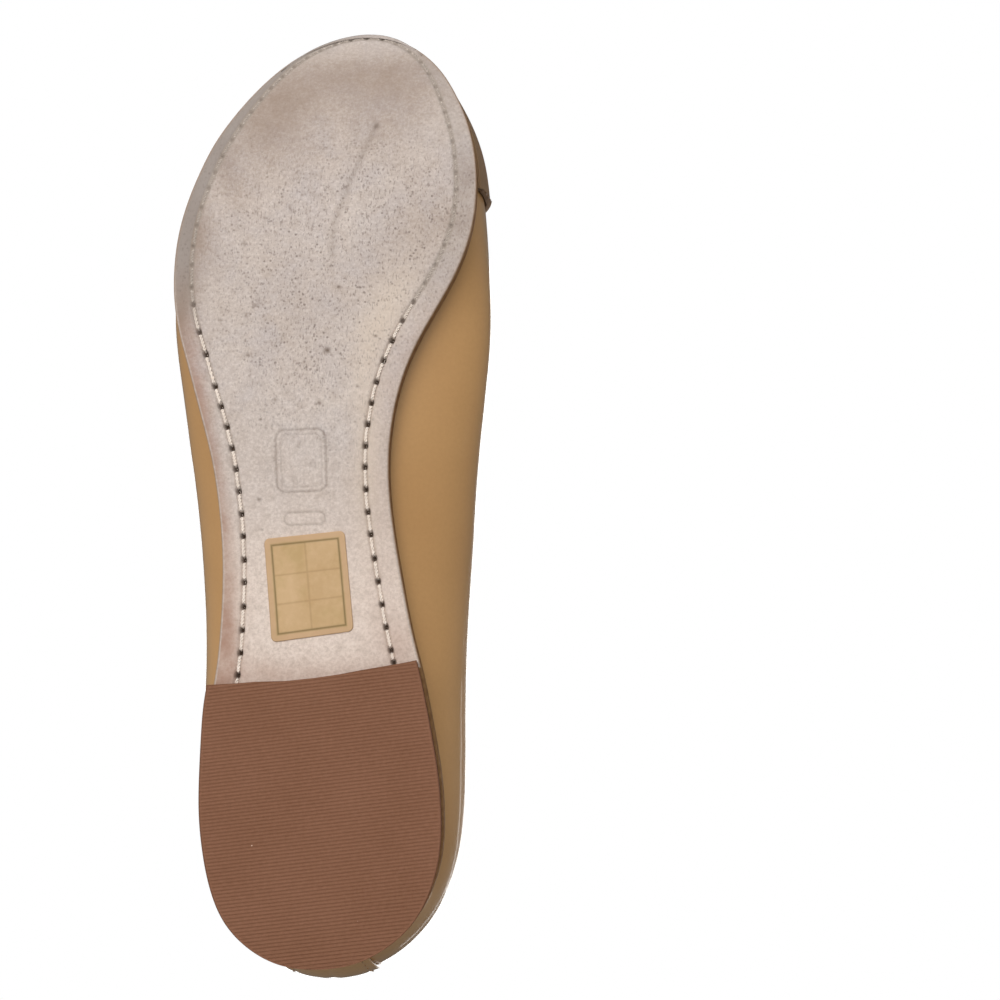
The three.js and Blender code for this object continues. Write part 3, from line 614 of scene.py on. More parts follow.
def outsole_mat():
    m = Mat("outsole_leather", 0.7, Specular_IOR_Level=0.03)
    big = m.noise(26, 4, 0.6)
    c = m.ramp(big, [(0.25, lin(193, 179, 169)), (0.5, lin(202, 189, 180)), (0.78, lin(210, 198, 189))])
    c = m.mix(m.math("MULTIPLY", m.attr("waist"), 0.9), c, lin(226, 209, 196))
    # chalky veil over the tread
    veil = m.noise(70, 5, 0.65, dist=0.6)
    c = m.mix(m.math("MULTIPLY", m.remap(veil, 0.42, 0.7), m.math("MULTIPLY", m.attr("wear"), 0.65)), c, lin(190, 181, 179))
    # pebbly nap: the grain breaks the colour up at half a millimetre and at two
    nap = m.noise(1150, 4, 0.75)
    c = m.mix(m.remap(nap, 0.44, 0.66, 0.0, 0.30), c, lin(148, 130, 118))
    c = m.mix(m.remap(nap, 0.34, 0.48, 0.28, 0.0), c, lin(232, 222, 214))
    mott = m.noise(330, 4, 0.65)
    c = m.mix(m.remap(mott, 0.48, 0.70, 0.0, 0.26), c, lin(152, 134, 120))
    c = m.mix(m.math("MULTIPLY", m.remap(m.noise(38, 4, 0.6), 0.3, 0.7, 0.6, 1.0), m.attr("brown")), c, lin(139, 117, 100))
    c = m.mix(m.math("MULTIPLY", m.remap(m.noise(110, 4, 0.6), 0.3, 0.75, 0.45, 1.0), m.attr("pink")), c, lin(160, 122, 103))
    c = m.mix(m.attr("warm"), c, lin(216, 198, 178))
    c = m.mix(m.attr("grey"), c, lin(152, 142, 135))
    c = m.mix(m.attr("groove"), c, lin(158, 147, 136))
    # specks and short scratches in the worn ball
    sp = m.voronoi(760, rand=1.0)
    dens = m.noise(170, 3, 0.7)
    spots = m.math("MULTIPLY", m.remap(sp, 0.14, 0.34, 1.0, 0.0), m.remap(dens, 0.45, 0.56))
    c = m.mix(m.math("MULTIPLY", m.math("MULTIPLY", spots, m.attr("speck")), 0.60), c, lin(98, 85, 78))
    stretched = m.scale(m.co, (1.0, 0.34, 1.0))
    sc = m.noise(2300, 2, 0.5, vec=stretched)
    c = m.mix(m.math("MULTIPLY", m.remap(sc, 0.56, 0.68), m.math("MULTIPLY", m.attr("speck"), 0.5)), c, lin(112, 98, 92))
    c = m.mix(m.attr("dark"), c, lin(88, 70, 56))
    c = m.mix(m.attr("side"), c, m.ramp(m.noise(520, 4), [(0.3, lin(128, 94, 62)), (0.7, lin(150, 114, 78))]))
    # painted shade: the needle holes are coloured dark brown as if in shadow, less where the worn holes are shallow
    c = m.mix(m.attr("hole"), c, lin(64, 50, 40))
    m.color(c)
    m.rough(m.remap(m.noise(220, 4), 0.3, 0.75, 0.55, 0.78))
    grain = m.math("ADD", m.noise(1300, 5, 0.7), m.math("MULTIPLY", m.math("MULTIPLY", spots, m.attr("speck")), -0.5))
    m.bump(grain, 0.00012, 0.7)
    return m.m


def thread_mat(name, a, b, dirty=None):
    m = Mat(name, 0.7, Sheen_Weight=0.2)
    c = m.ramp(m.noise(900, 3), [(0.3, a), (0.7, b)])
    if dirty:
        c = m.mix(m.attr("shade"), c, dirty)
    m.color(c)
    m.bump(m.noise(5200, 2, vec=m.scale(m.co, (1, 1, 2.5))), 0.00005, 0.5)
    return m.m


def rubber_mat():
    m = Mat("heel_rubber", 0.7, Specular_IOR_Level=0.03)
    c = m.ramp(m.noise(34, 3, 0.6), [(0.3, lin(128, 90, 69)), (0.7, lin(136, 97, 76))])
    c = m.mix(m.remap(m.noise(900, 3), 0.4, 0.8, 0.0, 0.22), c, lin(158, 116, 94))
    c = m.mix(m.remap(m.noise(2600, 2), 0.5, 0.75, 0.0, 0.25), c, lin(104, 68, 50))
    # painted shade: the valleys between the ribs are coloured darker in step with their depth
    c = m.mix(m.remap(m.attr("valley"), 0, 1, 0.0, 0.24), c, lin(88, 56, 40))
    c = m.mix(m.remap(m.voronoi(95), 0.012, 0.02, 1.0, 0.0), c, lin(208, 178, 156))
    # painted shade: the heel's side walls and the rim of its tread are coloured darker than the rubber, standing in for
    # shadow
    c = m.mix(m.attr("side"), c, lin(80, 50, 38))
    m.color(c)
    m.rough(m.remap(m.noise(300, 4), 0.3, 0.75, 0.62, 0.8))
    m.bump(m.noise(2600, 3), 0.00003, 0.5)
    return m.m


def leather_in(name, a, b, rough=0.6, grain=900, dist=0.00006):
    m = Mat(name, rough, Specular_IOR_Level=0.35)
    c = m.ramp(m.noise(45, 4, 0.55), [(0.3, a), (0.7, b)])
    v = m.voronoi(grain, feature="DISTANCE_TO_EDGE")
    pore = m.voronoi(grain * 1.3)
    c = m.mix(m.remap(v, 0.0, 0.10, 0.22, 0.0), c, tuple(0.6 * x for x in a[:3]) + (1,))
    m.color(c)
    m.rough(m.remap(m.noise(120, 3), 0.3, 0.7, rough - 0.08, rough + 0.08))
    m.bump(m.math("ADD", m.remap(v, 0.0, 0.15), m.math("MULTIPLY", pore, -0.3)), dist, 0.45)
    return m.m


def cloth_in(name, a, b, pitch=0.0007):
    m = Mat(name, 0.9, Sheen_Weight=0.2)
    w1 = m.wave(math.pi / 10 / pitch, "X", 0.5, 2)
    w2 = m.wave(math.pi / 10 / pitch, "Y", 0.5, 2)
    w3 = m.wave(math.pi / 10 / pitch, "Z", 0.5, 2)
    h = m.math("MULTIPLY", m.math("MAXIMUM", w1, w2), w3)
    m.color(m.mix(m.remap(h, 0, 0.8), b, m.ramp(m.noise(50, 3), [(0.3, a), (0.7, tuple(min(1, 1.1 * x) for x in a[:3]) + (1,))])))
    m.bump(h, 0.00012, 0.8)
    return m.m


def grainy(name, a, b, scale, rough=0.85, dist=0.0002, metal=0.0):
    m = Mat(name, rough, Metallic=metal)
    v = m.voronoi(scale, out="Color")
    k = m.noise(scale * 0.8, 4, 0.7)
    m.color(m.ramp(k, [(0.3, a), (0.7, b)]))
    m.rough(m.remap(k, 0.3, 0.7, max(0.05, rough - 0.1), min(1, rough + 0.08)))
    m.bump(k, dist, 0.6)
    return m.m


def steel_mat():
    m = Mat("shank_steel", 0.34, Metallic=1.0)
    br = m.noise(1800, 3, 0.6, vec=m.scale(m.co, (1.0, 0.03, 1.0)))
    m.color(m.ramp(br, [(0.3, lin(120, 122, 126)), (0.7, lin(164, 166, 170))]))
    m.rough(m.remap(br, 0.3, 0.7, 0.28, 0.45))
    m.bump(br, 0.00002, 0.4)
    return m.m


def label_mat():
    m = Mat("label_paper", 0.5, Coat_Weight=0.15, Coat_Roughness=0.3)
    c = m.ramp(m.noise(90, 4), [(0.3, lin(190, 156, 112)), (0.7, lin(203, 170, 128))])
    c = m.mix(m.remap(m.noise(420, 4, 0.7), 0.45, 0.75, 0, 0.35), c, lin(216, 186, 146))
    c = m.mix(m.remap(m.noise(130, 4, 0.6), 0.5, 0.7, 0, 0.5), c, lin(178, 150, 98))
    c = m.mix(m.attr("border"), c, lin(196, 160, 126))
    c = m.mix(m.attr("faint"), c, lin(160, 128, 82))
    c = m.mix(m.attr("line"), c, lin(104, 88, 44))
    m.color(c)
    m.bump(m.noise(700, 4, 0.65), 0.00006, 0.5)
    return m.m


M_PATENT, M_CAP, M_SOLE, M_RUBBER = patent(), cap_cloth(), outsole_mat(), rubber_mat()
M_THREAD = thread_mat("sole_thread", lin(232, 217, 202), lin(250, 238, 226), lin(176, 163, 152))
M_TOPTHREAD = thread_mat("upper_thread", lin(150, 108, 64), lin(170, 126, 78))
M_CAPTHREAD = thread_mat("cap_thread", lin(120, 92, 66), lin(140, 110, 82))
M_LINTHREAD = thread_mat("lining_thread", lin(206, 184, 148), lin(220, 200, 166))
M_LINING = leather_in("lining_leather", lin(214, 190, 154), lin(224, 202, 168), 0.62, 1000)
M_SOCK = leather_in("sock_leather", lin(205, 176, 134), lin(216, 190, 150), 0.5, 800)
M_FIBRE = grainy("heel_fibre", lin(96, 62, 34), lin(122, 82, 50), 900, 0.85, 0.00006)
M_FIBRE.node_tree.nodes["Principled BSDF"].inputs["Specular IOR Level"].default_value = 0.0
M_BOARD = grainy("insole_board", lin(150, 126, 94), lin(176, 150, 116), 800, 0.9, 0.0001)
M_PUFF = cloth_in("stiffener_felt", lin(214, 206, 190), lin(176, 168, 152))
M_CLOTH = cloth_in("interlining_cloth", lin(226, 218, 200), lin(188, 180, 162))
M_ELASTIC = cloth_in("elastic_band", lin(232, 228, 216), lin(192, 188, 176), 0.0005)
M_FOAM = grainy("latex_foam", lin(228, 218, 192), lin(240, 232, 210), 1600, 0.95, 0.00025)
M_CORK = grainy("cork_filler", lin(120, 84, 50), lin(186, 142, 96), 420, 0.95, 0.0003)
M_STEEL, M_LABEL = steel_mat(), label_mat()

# ------------------------------------------------------------------ camera at the photographed angle
_f = 1270.0
CAM = np.array([65.982, 46.395, -336.5])
FWD = np.array([-0.05872921, -0.1391731, 0.98852503])
RIGHT = np.array([0.99823983, 0.0, 0.05930637])
DOWN = np.array([-0.00825385, 0.99026807, 0.13892813])
cam_data = bpy.data.cameras.new("camera")
cam = bpy.data.objects.new("camera", cam_data)
bpy.context.scene.collection.objects.link(cam)
cam_data.sensor_width = 36.0
cam_data.lens = 36.0 * _f / 1000.0
cam_data.clip_start, cam_data.clip_end = 0.01, 50
_c = (CAM + SHIFT) * 0.001
cam.matrix_world = Matrix(((RIGHT[0], -DOWN[0], -FWD[0], _c[0]), (RIGHT[1], -DOWN[1], -FWD[1], _c[1]), (RIGHT[2], -DOWN[2], -FWD[2], _c[2]), (0, 0, 0, 1)))
bpy.context.scene.camera = cam

# ------------------------------------------------------------------ outsole
def in_gauss(x, y, cx, cy, sx, sy, ang=0.0):
    c, s = math.cos(ang), math.sin(ang)
    dx, dy = x - cx, y - cy
    a, b = (dx * c + dy * s) / sx, (-dx * s + dy * c) / sy
    return np.exp(-0.5 * (a * a + b * b))


def seg_dist(x, y, pts):
    d = np.full(np.shape(x), 1e9)
    for (x0, y0), (x1, y1) in zip(pts[:-1], pts[1:]):
        vx, vy = x1 - x0, y1 - y0
        t = np.clip(((x - x0) * vx + (y - y0) * vy) / (vx * vx + vy * vy), 0, 1)
        d = np.minimum(d, np.hypot(x - x0 - t * vx, y - y0 - t * vy))
    return d


# needle holes: measured on both sides, evenly spaced round the toe
def to_u(pts):
    """Station and inset of points near the outline."""
    uu = np.arange(0, K, 0.02)
    e, n = edge(uu)
    out = []
    for p in pts:
        d = np.linalg.norm(e - p, axis=1)
        k = d.argmin()
        out.append((uu[k], d[k]))
    return np.array(out)


hl, hr = to_u(HOLES_L), to_u(HOLES_R)
hr[:, 0] = np.where(hr[:, 0] > 32, hr[:, 0] - K, hr[:, 0])
u_toe0, u_toe1 = hr[0, 0], hl[0, 0]
gap_len = (u_toe1 - u_toe0) * 9.48
n_toe = max(2, int(round(gap_len / 5.2)))
toe_u = np.linspace(u_toe0, u_toe1, n_toe + 1)[1:-1]
toe_in = np.linspace(hr[0, 1], hl[0, 1], n_toe + 1)[1:-1]
HU = np.concatenate([hr[::-1, 0], toe_u, hl[:, 0]])          # medial breast -> toe -> lateral breast
HI = np.concatenate([hr[::-1, 1], toe_in, hl[:, 1]])
HU = np.append(HU, HU[-1] + 0.62)
HI = np.append(HI, HI[-1])
HI = np.convolve(np.pad(HI, 2, mode="edge"), np.ones(5) / 5, "valid")


def channel_in(u):
    """Inset of the stitch line at station u."""
    w = np.where(u > 32, u - K, u)
    return np.interp(w, HU, HI)


HP = edge(HU, HI)[0]                                          # hole centres


def worn(y):
    """1 at the toe and ball, where the row is rubbed flat, 0 in the waist."""
    return smoothstep(-42, -66, y)


N_BAND = 2000
ub = np.arange(N_BAND) * K / N_BAND
ci = channel_in(ub)
e0, _ = edge(ub)
open_ch = smoothstep(STITCH_TO - 0.05, STITCH_TO + 0.12, ub) + 1 - smoothstep(STITCH_FROM - 0.12, STITCH_FROM + 0.05, ub)
insets, depth, tagc = [], [], []
half = 1.05
prof = [(-1.5, 0.0), (-1.0, 0.04), (-0.78, 0.28), (-0.56, 0.72), (-0.28, 0.97), (0.0, 1.0), (0.28, 0.97), (0.56, 0.72), (0.78, 0.28), (1.0, 0.04), (1.5, 0.0)]
loops_p, tags = [], {k: [] for k in ("groove", "side", "edge")}


def bottom(xy, extra=0.0):
    return xyz(xy, sole_z(xy[..., 1]) + extra)


def add_loop(P, groove=0.0, side=0.0):
    loops_p.append(P)
    tags["groove"].append(np.broadcast_to(np.asarray(groove, float), (N_BAND,)))
    tags["side"].append(np.broadcast_to(np.asarray(side, float), (N_BAND,)))


# top face (seat of the upper), then the side wall, the rounded bottom arris, and the tread up to the ladder
ez = lambda ins: edge(ub, ins)[0]
t9 = ez(9.0)
add_loop(xyz(t9, top_z(t9[:, 1])))
for ins, dz in ((1.5, 0.0), (0.35, 0.0), (0.08, -0.12), (0.0, -0.4)):
    p = ez(ins)
    add_loop(xyz(p, top_z(p[:, 1]) + dz), side=1.0)
edge_n = value_noise(np.c_[ub * 9.48, ub * 0, ub * 0], 14, 3)
for f in (0.33, 0.66):
    p = ez(-0.02 + 0.0 * ub)
    add_loop(xyz(p, sole_z(p[:, 1]) + 0.55 + (SOLE_T - 0.95) * (1 - f)), side=1.0)
for ins, dz, sd in ((0.0, 0.62, 1.0), (0.07, 0.36, 0.85), (0.24, 0.14, 0.55), (0.5, 0.03, 0.22), (0.85, 0.0, 0.06)):
    p = ez(ins)
    add_loop(bottom(p, dz), side=sd)
for f in (0.3, 0.6, 0.85):
    ins = 0.85 + (ci - 1.5 * half - 0.85) * f
    add_loop(bottom(ez(ins)))
hp_d = None
CH_D = 0.62
for w, dd in prof:
    ins = ci + w * half
    p = ez(ins)
    add_loop(bottom(p, CH_D * dd * open_ch), groove=dd * open_ch)
for f in (0.35, 0.7, 1.0):
    ins = ci + 1.5 * half + (9.6 - ci - 1.5 * half) * f
    add_loop(bottom(ez(ins)))
ring = np.stack(loops_p)                     # loops, N, 3
NL = len(loops_p)
g_tag, s_tag = np.stack(tags["groove"]), np.stack(tags["side"])
# ladder across the tread between the two sides
COLS = 97
Hn = N_BAND // 2
inner = ring[-1]
ka = np.arange(0, Hn + 1)
A_, B_ = inner[ka % N_BAND], inner[(N_BAND - ka) % N_BAND]
tt = np.linspace(0, 1, COLS)[None, 1:-1, None]
lad = A_[:, None] * (1 - tt) + B_[:, None] * tt
lad[..., 2] = sole_z(lad[..., 1])
verts = [ring.reshape(-1, 3), lad[1:-1].reshape(-1, 3)]
nr = NL * N_BAND
faces = tube_faces(NL, N_BAND, False)
W = COLS - 2


def lid(k, c):
    """vertex index at rung k, column c (0..COLS-1)"""
    k = np.asarray(k)
    c = np.asarray(c)
    base = (NL - 1) * N_BAND
    mid = nr + (np.clip(k, 1, Hn - 1) - 1) * W + np.clip(c - 1, 0, W - 1)
    left = base + k % N_BAND
    right = base + (N_BAND - k) % N_BAND
    idx = np.where(c == 0, left, np.where(c == COLS - 1, right, mid))
    return np.where((k == 0) | (k == Hn), base + k % N_BAND, idx)


kk, cc = np.meshgrid(np.arange(Hn), np.arange(COLS - 1), indexing="ij")
lf = np.stack([lid(kk, cc), lid(kk, cc + 1), lid(kk + 1, cc + 1), lid(kk + 1, cc)], -1).reshape(-1, 4)
end = (lf[:, 0] == lf[:, 1]) | (lf[:, 2] == lf[:, 3])
tri_a = lf[lf[:, 0] == lf[:, 1]][:, [0, 2, 3]]
tri_b = lf[lf[:, 2] == lf[:, 3]][:, [0, 1, 2]]
quads = [faces, lf[~end]]
# top face of the outsole, a coarse ladder
base0 = 0
k0 = np.arange(1, Hn - 1)
topq = np.stack([k0, k0 + 1, (N_BAND - k0 - 1) % N_BAND, (N_BAND - k0) % N_BAND], -1)
tri_t = np.array([[0, 1, N_BAND - 1], [Hn - 1, Hn, Hn + 1]])
P = np.concatenate(verts)
x, y = P[:, 0], P[:, 1]
nb = len(P)
groove = np.concatenate([g_tag.reshape(-1), np.zeros(nb - nr)])
side = np.concatenate([s_tag.reshape(-1), np.zeros(nb - nr)])
side = np.maximum(side, smoothstep(0.5, 1.2, P[:, 1] - np.interp(P[:, 0], BREAST[::-1, 0], BREAST[::-1, 1])))   # the rim round the heel is dressed like the edge
is_tread = np.concatenate([np.repeat(np.arange(NL) >= 11, N_BAND), np.ones(nb - nr, bool)])
# distance to needle holes
hd = np.full(nb, 1e9)
near = (groove > 0.01)
HT = row(HU, 1)[:, :2]
HT /= np.linalg.norm(HT, axis=1, keepdims=True)
for p, t_ in zip(HP, HT):
    dx_, dy_ = x[near] - p[0], y[near] - p[1]
    sm = 1 + 0.7 * worn(p[1])
    hd[near] = np.minimum(hd[near], sm * np.hypot((dx_ * t_[0] + dy_ * t_[1]) * 0.72, -dx_ * t_[1] + dy_ * t_[0]))
# needle-hole mask: it sinks the holes and also paints shade into them through the outsole's hole attribute
hole = np.exp(-(hd / 0.72) ** 4) * (groove > 0.02)
# shape: needle holes, worn channel, light hollows, the blind stamp
P[:, 2] += np.where(hd < 1.6, hole * 1.25 * (1 - 0.62 * worn(y)), 0)
wy = worn(y)
P[:, 2] -= groove * wy * 0.55 * CH_D
lump = value_noise(np.c_[x, y, y * 0], 26, 5) * 0.10 + value_noise(np.c_[x, y, y * 0], 7, 6) * 0.035
P[:, 2] += np.where(is_tread, lump * np.clip(1 - side * 3, 0, 1) * smoothstep(52, 40, y), 0)
crease = [(10.6, -108.5), (4.0, -92.4), (-0.1, -79.4), (-0.8, -70.1)]
cd = seg_dist(x, y, crease)
P[:, 2] += np.where(is_tread, 0.14 * np.exp(-(cd / 0.8) ** 2) - 0.06 * np.exp(-((cd - 2) / 1.2) ** 2), 0)
scuff_d = np.hypot((x + 22.9), (y + 55.3))
scuff = np.exp(-(scuff_d / 2.6) ** 2) * (0.5 + 0.5 * np.sign(value_noise(np.c_[x, y, y * 0], 1.6, 9)))
spot = np.exp(-(np.hypot(x + 1.6, y + 43.0) / 0.9) ** 2)
P[:, 2] += np.where(is_tread, scuff * 0.15 + spot * 0.3, 0)


def round_box(px, py, cx, cy, hx, hy, r, tilt=0.0):
    c, s = math.cos(tilt), math.sin(tilt)
    dx, dy = (px - cx) * c + (py - cy) * s, -(px - cx) * s + (py - cy) * c
    qx, qy = np.abs(dx) - hx + r, np.abs(dy) - hy + r
    return np.hypot(np.maximum(qx, 0), np.maximum(qy, 0)) + np.minimum(np.maximum(qx, qy), 0) - r


sd1 = round_box(x, y, -8.6, -12.6, 6.9, 8.5, 2.6, -0.03)
sd2 = round_box(x, y, -8.6, -12.6, 5.6, 7.2, 1.8, -0.03)
sd3 = round_box(x, y, -7.6, 3.2, 5.6, 1.7, 1.7, -0.03)
stamp = np.maximum.reduce([np.exp(-(sd1 / 0.30) ** 2), 0.55 * np.exp(-(sd2 / 0.22) ** 2), 0.8 * np.exp(-(sd3 / 0.28) ** 2)]) * is_tread
P[:, 2] += stamp * 0.22
# paint layers
wear = np.clip(smoothstep(15, -40, y) * 0.9 + 0.1, 0, 1)
outer_ring = np.concatenate([np.repeat((np.arange(NL) >= 7) & (np.arange(NL) <= 17), N_BAND), np.zeros(nb - nr, bool)])
grey = outer_ring * smoothstep(-48, -74, y) * (0.25 + 0.6 * smoothstep(14, -12, x))
waist = smoothstep(-20, 30, y) * is_tread
speck = np.clip(in_gauss(x, y, -2, -72, 32, 26) * 1.0 + in_gauss(x, y, 20, -84, 12, 12) * 0.7 + in_gauss(x, y, -8, -35, 16, 22) * 0.5, 0, 1) * is_tread
brown = np.clip(in_gauss(x, y, -20, -112, 9, 11, 0.7) * 0.66 + in_gauss(x, y, 2, -127, 18, 6.5) * 0.5 + in_gauss(x, y, 10, -112, 26, 15) * 0.20 + in_gauss(x, y, 18, -118, 9, 10) * 0.25
                + in_gauss(x, y, -42.8, -60, 3.0, 17, 0.06) * 1.0 + in_gauss(x, y, -40.5, -85, 3.4, 14, -0.28) * 0.5 + in_gauss(x, y, 37, -92, 2.6, 6) * 0.4 + in_gauss(x, y, 34, -79, 4, 2.5) * 0.35
                + in_gauss(x, y, -34, -100, 3, 12, -0.4) * 0.4 + in_gauss(x, y, 24, -76, 10, 12) * 0.22 + in_gauss(x, y, -6, -52, 22, 14) * 0.10, 0, 1) * is_tread
lat_x = x - np.interp(y, [-60, -40, -20, 0, 20, 40], [-43, -41, -37, -33, -30.5, -31.5])
lat = smoothstep(7.0, 1.0, np.abs(lat_x))
pink = np.clip(lat * smoothstep(-60, -32, y) * (0.75 + 0.25 * smoothstep(20, -10, y)) + in_gauss(x, y, -14, 45.5, 24, 3.2) * 0.45 + in_gauss(x, y, 18, 37, 5, 6) * 0.35 + in_gauss(x, y, -28, 38, 3, 9) * 0.5
               + in_gauss(x, y, 15, 0, 6, 24) * 0.22 + in_gauss(x, y, 25, -45, 4, 14, 0.5) * 0.25, 0, 1) * is_tread
warm = np.clip(in_gauss(x, y, 14, -52, 4, 12, 0.45) * 0.45 + in_gauss(x, y, 9.5, -15, 2.6, 16) * 0.45, 0, 0.8) * is_tread
dark = np.clip(spot * 0.8 + scuff * 0.4 + np.exp(-(cd / 0.9) ** 2) * 0.22 + stamp * 0.38 + np.exp(-(np.hypot(x - 10.8, y + 109) / 1.0) ** 2) * 0.35, 0, 1) * is_tread
for (cx, cy) in [(-16, -30), (-19, -22), (-13, -46), (-24, -40), (4, -60), (9, -72), (-4, -28), (7, -33), (-26, -72), (-30, -52), (12, -47), (-10, -58), (-20, -80), (-17, 6), (-21.5, -2), (-14.5, -17)]:
    cxx, cyy = cx + rng.normal() * 2, cy + rng.normal() * 2
    dark = np.maximum(dark, np.exp(-(np.hypot((x - cxx) * 0.8, y - cyy) / rng.uniform(0.28, 0.5)) ** 2) * rng.uniform(0.4, 0.8) * is_tread)
ob = make("outsole_leather_piece", P, [np.concatenate([quads[0], quads[1], topq]), np.concatenate([tri_a, tri_b, tri_t])], M_SOLE, "outsole",
          attrs={"grey": grey, "waist": waist, "wear": wear * is_tread, "speck": speck, "brown": brown, "pink": pink, "warm": warm, "dark": dark, "side": side,
                 "groove": groove * (0.30 + 0.45 * wy), "hole": np.clip(hole * (1 - 0.78 * wy), 0, 1)})

# ------------------------------------------------------------------ sole stitching, two-ply thread from hole to hole
th = Parts()
for k in range(len(HU) - 1):
    n = 34
    t = np.linspace(0, 1, n)
    uu = HU[k] + (HU[k + 1] - HU[k]) * t
    ii = HI[k] + (HI[k + 1] - HI[k]) * t
    e, nn = edge(uu, ii)
    w = worn(e[:, 1])
    span = np.linalg.norm(e[-1] - e[0])
    end_d = np.minimum(t, 1 - t) * span                     # mm to the nearer hole
    lift = smoothstep(0.55, 1.2, end_d)
    z = sole_z(e[:, 1]) + 0.38 + (1 - lift) * 1.75 * (1 - 0.55 * w) + w * 0.04
    wob = 0.10 * math.sin(k * 2.4) * np.sin(t * np.pi)
    base = xyz(e + nn * wob[:, None], z)
    rad = 0.25 * (0.7 + 0.3 * lift) * (1 - 0.12 * w)
    tw = t * 2 * np.pi * 3.4 + k * 0.7
    shade = np.clip(w * (1.0 - 1.1 * np.exp(-((end_d - 0.65) / 0.5) ** 2)) + 0.12 * rng.random(), 0, 1)
    for ph in (0, np.pi):
        off = xyz(nn * (np.cos(tw + ph) * 0.24)[:, None], np.sin(tw + ph) * 0.14)
        v, q, tr = sweep(base + off, rad, 6)
        th.add(v, q, tr, a=np.repeat(shade, 6))
th.build("sole_thread_piece", M_THREAD, "sole_stitching")

# ------------------------------------------------------------------ heel: ribbed rubber piece and fibre lift
def heel_block(name, ins0, ins1, z0, z1, mat, node, ribs):
    """Solid with a laddered bottom: rungs run from the breast to the back."""
    R, C = 760 if ribs else 160, 121 if ribs else 25
    half_u = (np.linspace(0, 1, R)) ** 1.0
    ul = HEEL_U0 + (31.95 - HEEL_U0) * half_u
    um = HEEL_U1 - (HEEL_U1 - 31.95) * half_u

    def rungs(inset):
        a, b = edge(ul, inset)[0], edge(um, inset)[0]
        t = np.linspace(0, 1, C)[None, :, None]
        q = a[:, None] * (1 - t) + b[:, None] * t
        # the first rungs follow the concave breast
        bx = np.concatenate([[a[0, 0]], BREAST[::-1, 0], [b[0, 0]]])
        by = np.concatenate([[a[0, 1]], BREAST[::-1, 1], [b[0, 1]]])
        sag = np.interp(q[0, :, 0], bx, by) - q[0, :, 1] + inset * 0.6
        fade = np.clip(1 - (ul - HEEL_U0) / 4.0, 0, 1)
        q[..., 1] += sag[None, :] * fade[:, None]
        return q
    B = rungs(ins0)
    T = rungs(ins1)
    zb = np.full(B.shape[:2], z0)
    valley = np.zeros(B.shape[:2])
    if ribs:
        ph = (B[..., 1] + B[..., 0] * 0.12) / 0.92
        f = ph - np.floor(ph)
        v = 0.5 - 0.5 * np.cos(2 * np.pi * f)
        v = smoothstep(0.35, 0.95, v)
        t = np.linspace(0, 1, C)
        margin = np.minimum(np.minimum(t, 1 - t)[None, :] * np.linalg.norm(B[:, -1] - B[:, 0], axis=1)[:, None], 1.2) / 1.2
        mg = smoothstep(0.15, 0.8, margin)
        valley = v * mg
        zb = zb + 0.15 * valley
    loops = []
    # perimeter order for the rims
    def per(q):
        return np.concatenate([q[0, :], q[1:, -1], q[::-1, 0][:-1]])
    bottom_v = xyz(B, zb)
    top_v = xyz(T, np.full(T.shape[:2], z1))
    V = [bottom_v.reshape(-1, 3), top_v.reshape(-1, 3)]
    nbv = R * C
    i, j = np.meshgrid(np.arange(R - 1), np.arange(C - 1), indexing="ij")
    q = np.stack([i * C + j, i * C + j + 1, (i + 1) * C + j + 1, (i + 1) * C + j], -1).reshape(-1, 4)
    idx = np.concatenate([np.arange(C), np.arange(1, R) * C + C - 1, ((R - 1) * C + np.arange(C - 2, -1, -1)), (np.arange(R - 2, 0, -1)) * C])
    m = len(idx)
    # rounded arris rings between bottom and top
    rings = []
    for fr, dz in ((-0.02, 0.10), (-0.05, 0.30), (-0.05, (z1 - z0) * 0.5), (-0.03, z1 - z0 - 0.08)):
        w = dz / (z1 - z0)
        p = bottom_v.reshape(-1, 3)[idx] * (1 - w) + top_v.reshape(-1, 3)[idx] * w
        p[:, 2] = z0 + dz
        rings.append(p)
    off = nbv * 2
    V += rings
    rid = [idx] + [off + k * m + np.arange(m) for k in range(len(rings))] + [idx + nbv]
    qs = [q, (q + nbv)[:, ::-1]]
    for a, b in zip(rid[:-1], rid[1:]):
        qs.append(np.stack([a, np.roll(a, -1), np.roll(b, -1), b], -1))
    # the valley mask also paints shade between the ribs in the rubber's material
    val = np.concatenate([valley.reshape(-1), np.zeros(nbv + m * len(rings))])
    # side marks the walls fully and the tread rim by half; the rubber paints shade there
    sid = np.concatenate([np.zeros(nbv), np.ones(nbv + m * len(rings))])
    border = np.zeros((R, C)); border[:, 0] = border[:, -1] = 1; border[0] = border[-1] = 1
    sid[:nbv] = border.reshape(-1) * 0.5
    return make(name, np.concatenate(V), np.concatenate(qs), mat, node, attrs={"valley": val, "side": sid})


heel_block("heel_rubber_piece", 0.0, 0.35, 0.0, HEEL_H - 2 * GAP - LIFT_T + 0.22, M_RUBBER, "heel_top_piece", True)
heel_block("heel_lift_piece", 0.45, 0.55, HEEL_H - GAP - LIFT_T - 0.04, HEEL_H - 0.04, M_FIBRE, "heel_lift", False)

# ------------------------------------------------------------------ upper
us_full = np.linspace(32.02, 95.98, 640)


def upper_rows(us):
    base = np.concatenate([[-1, -0.7, -0.4, -0.15, -0.05], np.linspace(0.0, 0.5, 17), np.linspace(0.5, 1.0, 34)[1:]])
    return np.broadcast_to(base[None, :], (len(us), len(base)))


